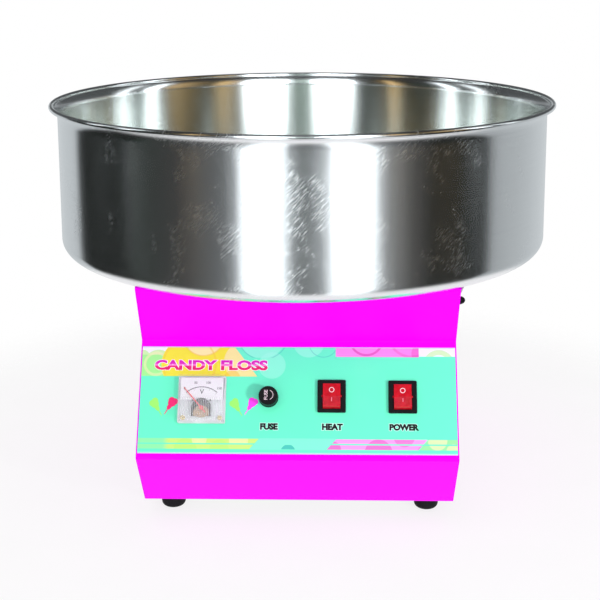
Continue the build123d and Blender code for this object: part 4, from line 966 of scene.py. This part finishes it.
class CANDY_OT_finishes(bpy.types.Operator):
    """Give every manufactured node its own finish"""

    bl_idname = "candy.finishes"
    bl_label = "Finishes"

    def execute(self, context):
        s = context.scene.candy_panel
        magenta = tuple(s.magenta)
        steel = (0.62, 0.62, 0.63)
        makers = {
            "magenta_enamel": enamel("magenta enamel", magenta),
            "mint_overlay": printed_sheet(
                "printed sheet",
                (
                    tuple(s.mint),
                    (0.30, 0.86, 0.66),
                    (0.74, 0.69, 0.05),
                    (0.40, 0.76, 0.16),
                    (0.82, 0.24, 0.70),
                    (0.62, 0.07, 0.42),
                    (0.02, 0.36, 0.36),
                    (0.78, 0.72, 0.42),
                    (0.74, 0.50, 0.06),
                    (0.74, 0.76, 0.86),
                ),
            ),
            "stainless": turned("satin stainless", steel, 0.3),
            "zinc_plate": brushed("zinc plate", (0.66, 0.66, 0.64), 0.32, (500, 500, 500), 0.1),
            "rivet_aluminium": turned("rivet aluminium", (0.78, 0.78, 0.79), 0.35),
            "cast_alloy": turned("cast alloy", (0.74, 0.74, 0.75), 0.34, 1400.0),
            "core_iron": brushed("core iron", (0.16, 0.16, 0.17), 0.5, (30, 30, 3000), 0.2),
            "copper_wire": turned("copper wire", (0.76, 0.36, 0.18), 0.32, 1800.0),
            "terminal_brass": brushed("terminal brass", (0.80, 0.60, 0.26), 0.25, (300, 300, 900), 0.1),
            "heater_sheath": moulding("heater sheath", (0.075, 0.06, 0.055), 0.55, 900.0, 0.03),
            "ceramic_white": moulding("white ceramic", (0.84, 0.81, 0.76), 0.5, 1200.0, 0.02),
            "foot_rubber": moulding("foot rubber", (0.005, 0.005, 0.006), 0.6, 1400.0, 0.03, 0.15, 0.5),
            "black_plastic": moulding("black plastic", (0.003, 0.003, 0.0035), 0.4, 1500.0, 0.02, 0.14, 0.4),
            "phenolic": moulding("brown phenolic", (0.10, 0.045, 0.025), 0.35, 1000.0, 0.02),
            "carbon": moulding("pressed carbon", (0.02, 0.02, 0.022), 0.5, 2200.0, 0.03),
            "rocker_red": lens_red("rocker lens"),
            "needle_red": plain_ink("needle red", (0.75, 0.01, 0.01), 0.35),
            "dial_white": dial_face("dial plate", (0.03, 0.03, 0.04)),
            "clear_cover": clear_plastic("cover moulding"),
            "bowl_mirror_steel": mirror_steel("bowl blank", 0.18, 0.8, 0.0),
        }
        own = {"meter_case": moulding("meter case", (0.60, 0.61, 0.64), 0.4)}
        slots = {part["node"]: part["material_slot"] for part in frame["record"]["subparts"]}
        for name, node in frame["nodes"].items():
            material = own.get(name, makers[slots[name]])
            node.data.materials.clear()
            node.data.materials.append(material)
        return {"FINISHED"}


class CANDY_OT_stage(bpy.types.Operator):
    """Set the floor, the soft light, the studio that the steel mirrors, and the camera"""

    bl_idname = "candy.stage"
    bl_label = "Stage"

    def execute(self, context):
        s = context.scene.candy_stage
        scene = context.scene
        scene.view_settings.view_transform = "Standard"
        self.floor()
        self.studio(scene, s.fill)
        self.lamps()
        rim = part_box("bowl")[1].z
        camera = bpy.data.objects.new("camera", bpy.data.cameras.new("camera"))
        scene.collection.objects.link(camera)
        camera.data.sensor_width = 36
        camera.data.lens = s.lens
        camera.data.shift_x = -3.0 / 600
        camera.data.shift_y = -1.5 / 600
        camera.data.clip_start = 0.01
        turn = Euler((pi / 2 - s.pitch, 0, s.azimuth)).to_matrix() @ Matrix.Rotation(s.roll, 3, "Z")
        place = Vector((s.distance * sin(s.azimuth), -s.distance * cos(s.azimuth), rim + s.above_rim))
        camera.matrix_world = Matrix.Translation(place) @ turn.to_4x4()
        scene.camera = camera
        return {"FINISHED"}

    def floor(self):
        """A pale round floor that fades out at its rim."""
        put_down_tools()
        bpy.ops.mesh.primitive_circle_add(vertices=96, radius=0.62, fill_type="NGON")
        floor = bpy.context.object
        floor.name = "floor"
        f = Finish("pale floor")
        _, x, y, z = f.place()
        radius = (x * x + y * y).root()
        fade = radius.ease(0.40, 0.60)
        mottle = f.noise(12.0, 2.0)
        shade = f.blend((0.15, 0.15, 0.15), (0.17, 0.17, 0.17), mottle)
        glow = {"Emission Color": (1, 1, 1, 1), "Emission Strength": 0.81}
        pale = {"Base Color": shade, "Roughness": 0.9, **glow}
        near = f.add("ShaderNodeBsdfPrincipled", {}, {**pale, "Specular IOR Level": 0.0})
        clear = f.add("ShaderNodeBsdfTransparent")
        mix = f.add("ShaderNodeMixShader", {}, {0: fade})
        output = f.add("ShaderNodeOutputMaterial")
        f.tree.links.new(near.outputs[0], mix.inputs[1])
        f.tree.links.new(clear.outputs[0], mix.inputs[2])
        f.tree.links.new(mix.outputs[0], output.inputs[0])
        floor.data.materials.append(f.owner)

    def studio(self, scene, fill):
        """A pale backdrop, an even soft fill, and cards of light and dark for the polished steel."""
        world = bpy.data.worlds.new("studio")
        scene.world = world
        f = Finish("studio", world)
        heading = f.wire("ShaderNodeTexCoord", output="Generated")
        split = f.add("ShaderNodeSeparateXYZ", {}, {0: heading})
        x, y, z = [Wire(f, out) for out in split.outputs]
        bearing = x.angle_with(-y) / tau + 0.5
        cool, plain, olive, gold = (0.92, 0.97, 1.0), (1.0, 1.0, 1.0), (0.75, 1.0, 0.85), (1.0, 0.68, 0.30)
        below = self.cards(f, bearing, BELOW_HORIZON, {"c": cool, "p": plain, "o": olive, "g": gold})
        above = self.cards(f, bearing, ABOVE_HORIZON, {"c": cool, "p": plain, "o": olive, "g": gold})
        cards = f.blend(below, above, z.ease(0.02, 0.14))
        cards = f.blend(cards, (0.03, 0.03, 0.03), z.ease(0.55, 0.72))
        cards = f.blend(cards, (0.30, 0.32, 0.33), z.ease(0.90, 0.96))
        light_path = f.add("ShaderNodeLightPath")
        camera_ray = Wire(f, light_path.outputs["Is Camera Ray"])
        glossy_ray = Wire(f, light_path.outputs["Is Glossy Ray"])
        colour = f.blend((fill, fill, fill), cards, glossy_ray)
        colour = f.blend(colour, (1.0, 1.0, 1.0), camera_ray)
        shader = f.add("ShaderNodeBackground", {}, {"Color": colour, "Strength": 1.0})
        output = f.add("ShaderNodeOutputWorld")
        f.tree.links.new(shader.outputs[0], output.inputs[0])

    def cards(self, f, bearing, layout, tints):
        """A ring of cards by bearing: each is (degrees, brightness, tint), with soft joins between."""
        stops = [((turn + 180) / 360, tuple(c * level for c in tints[tint])) for turn, level, tint in layout]
        return f.wire("ShaderNodeValToRGB", {"stops": stops}, {0: bearing})

    def lamps(self):
        """Soft boxes: a wide one in front, one overhead and a smaller key low on the right."""
        for name, place, aim, size, power in (
            ("front_box", (0, -1.6, 0.25), (0, 0, 0.2), 1.4, 4),
            ("top_box", (-0.5, -0.9, 1.6), (0, 0, 0.2), 1.0, 4),
            ("key_box", (1.15, -1.25, 0.30), (0, -0.2, 0.13), 0.16, 15),
        ):
            lamp = bpy.data.objects.new(name, bpy.data.lights.new(name, "AREA"))
            bpy.context.scene.collection.objects.link(lamp)
            lamp.data.size = size
            lamp.data.energy = power
            lamp.visible_glossy = False
            lamp.visible_camera = False
            facing = (Vector(aim) - Vector(place)).to_track_quat("-Z", "Y")
            lamp.matrix_world = Matrix.Translation(place) @ facing.to_matrix().to_4x4()


class CANDY_PT_tools(bpy.types.Panel):
    """Lists the machine's pieces and their settings"""

    bl_idname = "CANDY_PT_tools"
    bl_label = "Cotton candy machine"
    bl_space_type = "VIEW_3D"
    bl_region_type = "UI"
    bl_category = "Candy"

    def draw(self, context):
        for group in ("candy_bowl", "candy_panel", "candy_meter", "candy_stage"):
            settings = getattr(context.scene, group)
            column = self.layout.column(align=True)
            for key in settings.__annotations__:
                column.prop(settings, key)
        for operator in OPERATORS:
            self.layout.operator(operator.bl_idname)


OPERATORS = (CANDY_OT_finishes, CANDY_OT_bowl, CANDY_OT_print, CANDY_OT_meter, CANDY_OT_marks, CANDY_OT_stage)
SETTINGS = {
    "candy_bowl": CandyBowlSettings,
    "candy_panel": CandyPanelSettings,
    "candy_meter": CandyMeterSettings,
    "candy_stage": CandyStageSettings,
}


def register():
    for cls in (*SETTINGS.values(), *OPERATORS, CANDY_PT_tools):
        bpy.utils.register_class(cls)
    for name, cls in SETTINGS.items():
        setattr(bpy.types.Scene, name, PointerProperty(type=cls))


def unregister():
    for name in SETTINGS:
        delattr(bpy.types.Scene, name)
    for cls in reversed((*SETTINGS.values(), *OPERATORS, CANDY_PT_tools)):
        bpy.utils.unregister_class(cls)


def main():
    register()
    for operator in OPERATORS:
        group, name = operator.bl_idname.split(".")
        if getattr(getattr(bpy.ops, group), name)() != {"FINISHED"}:
            raise RuntimeError(f"{operator.bl_label} did not finish")


if __name__ == "__main__":
    main()
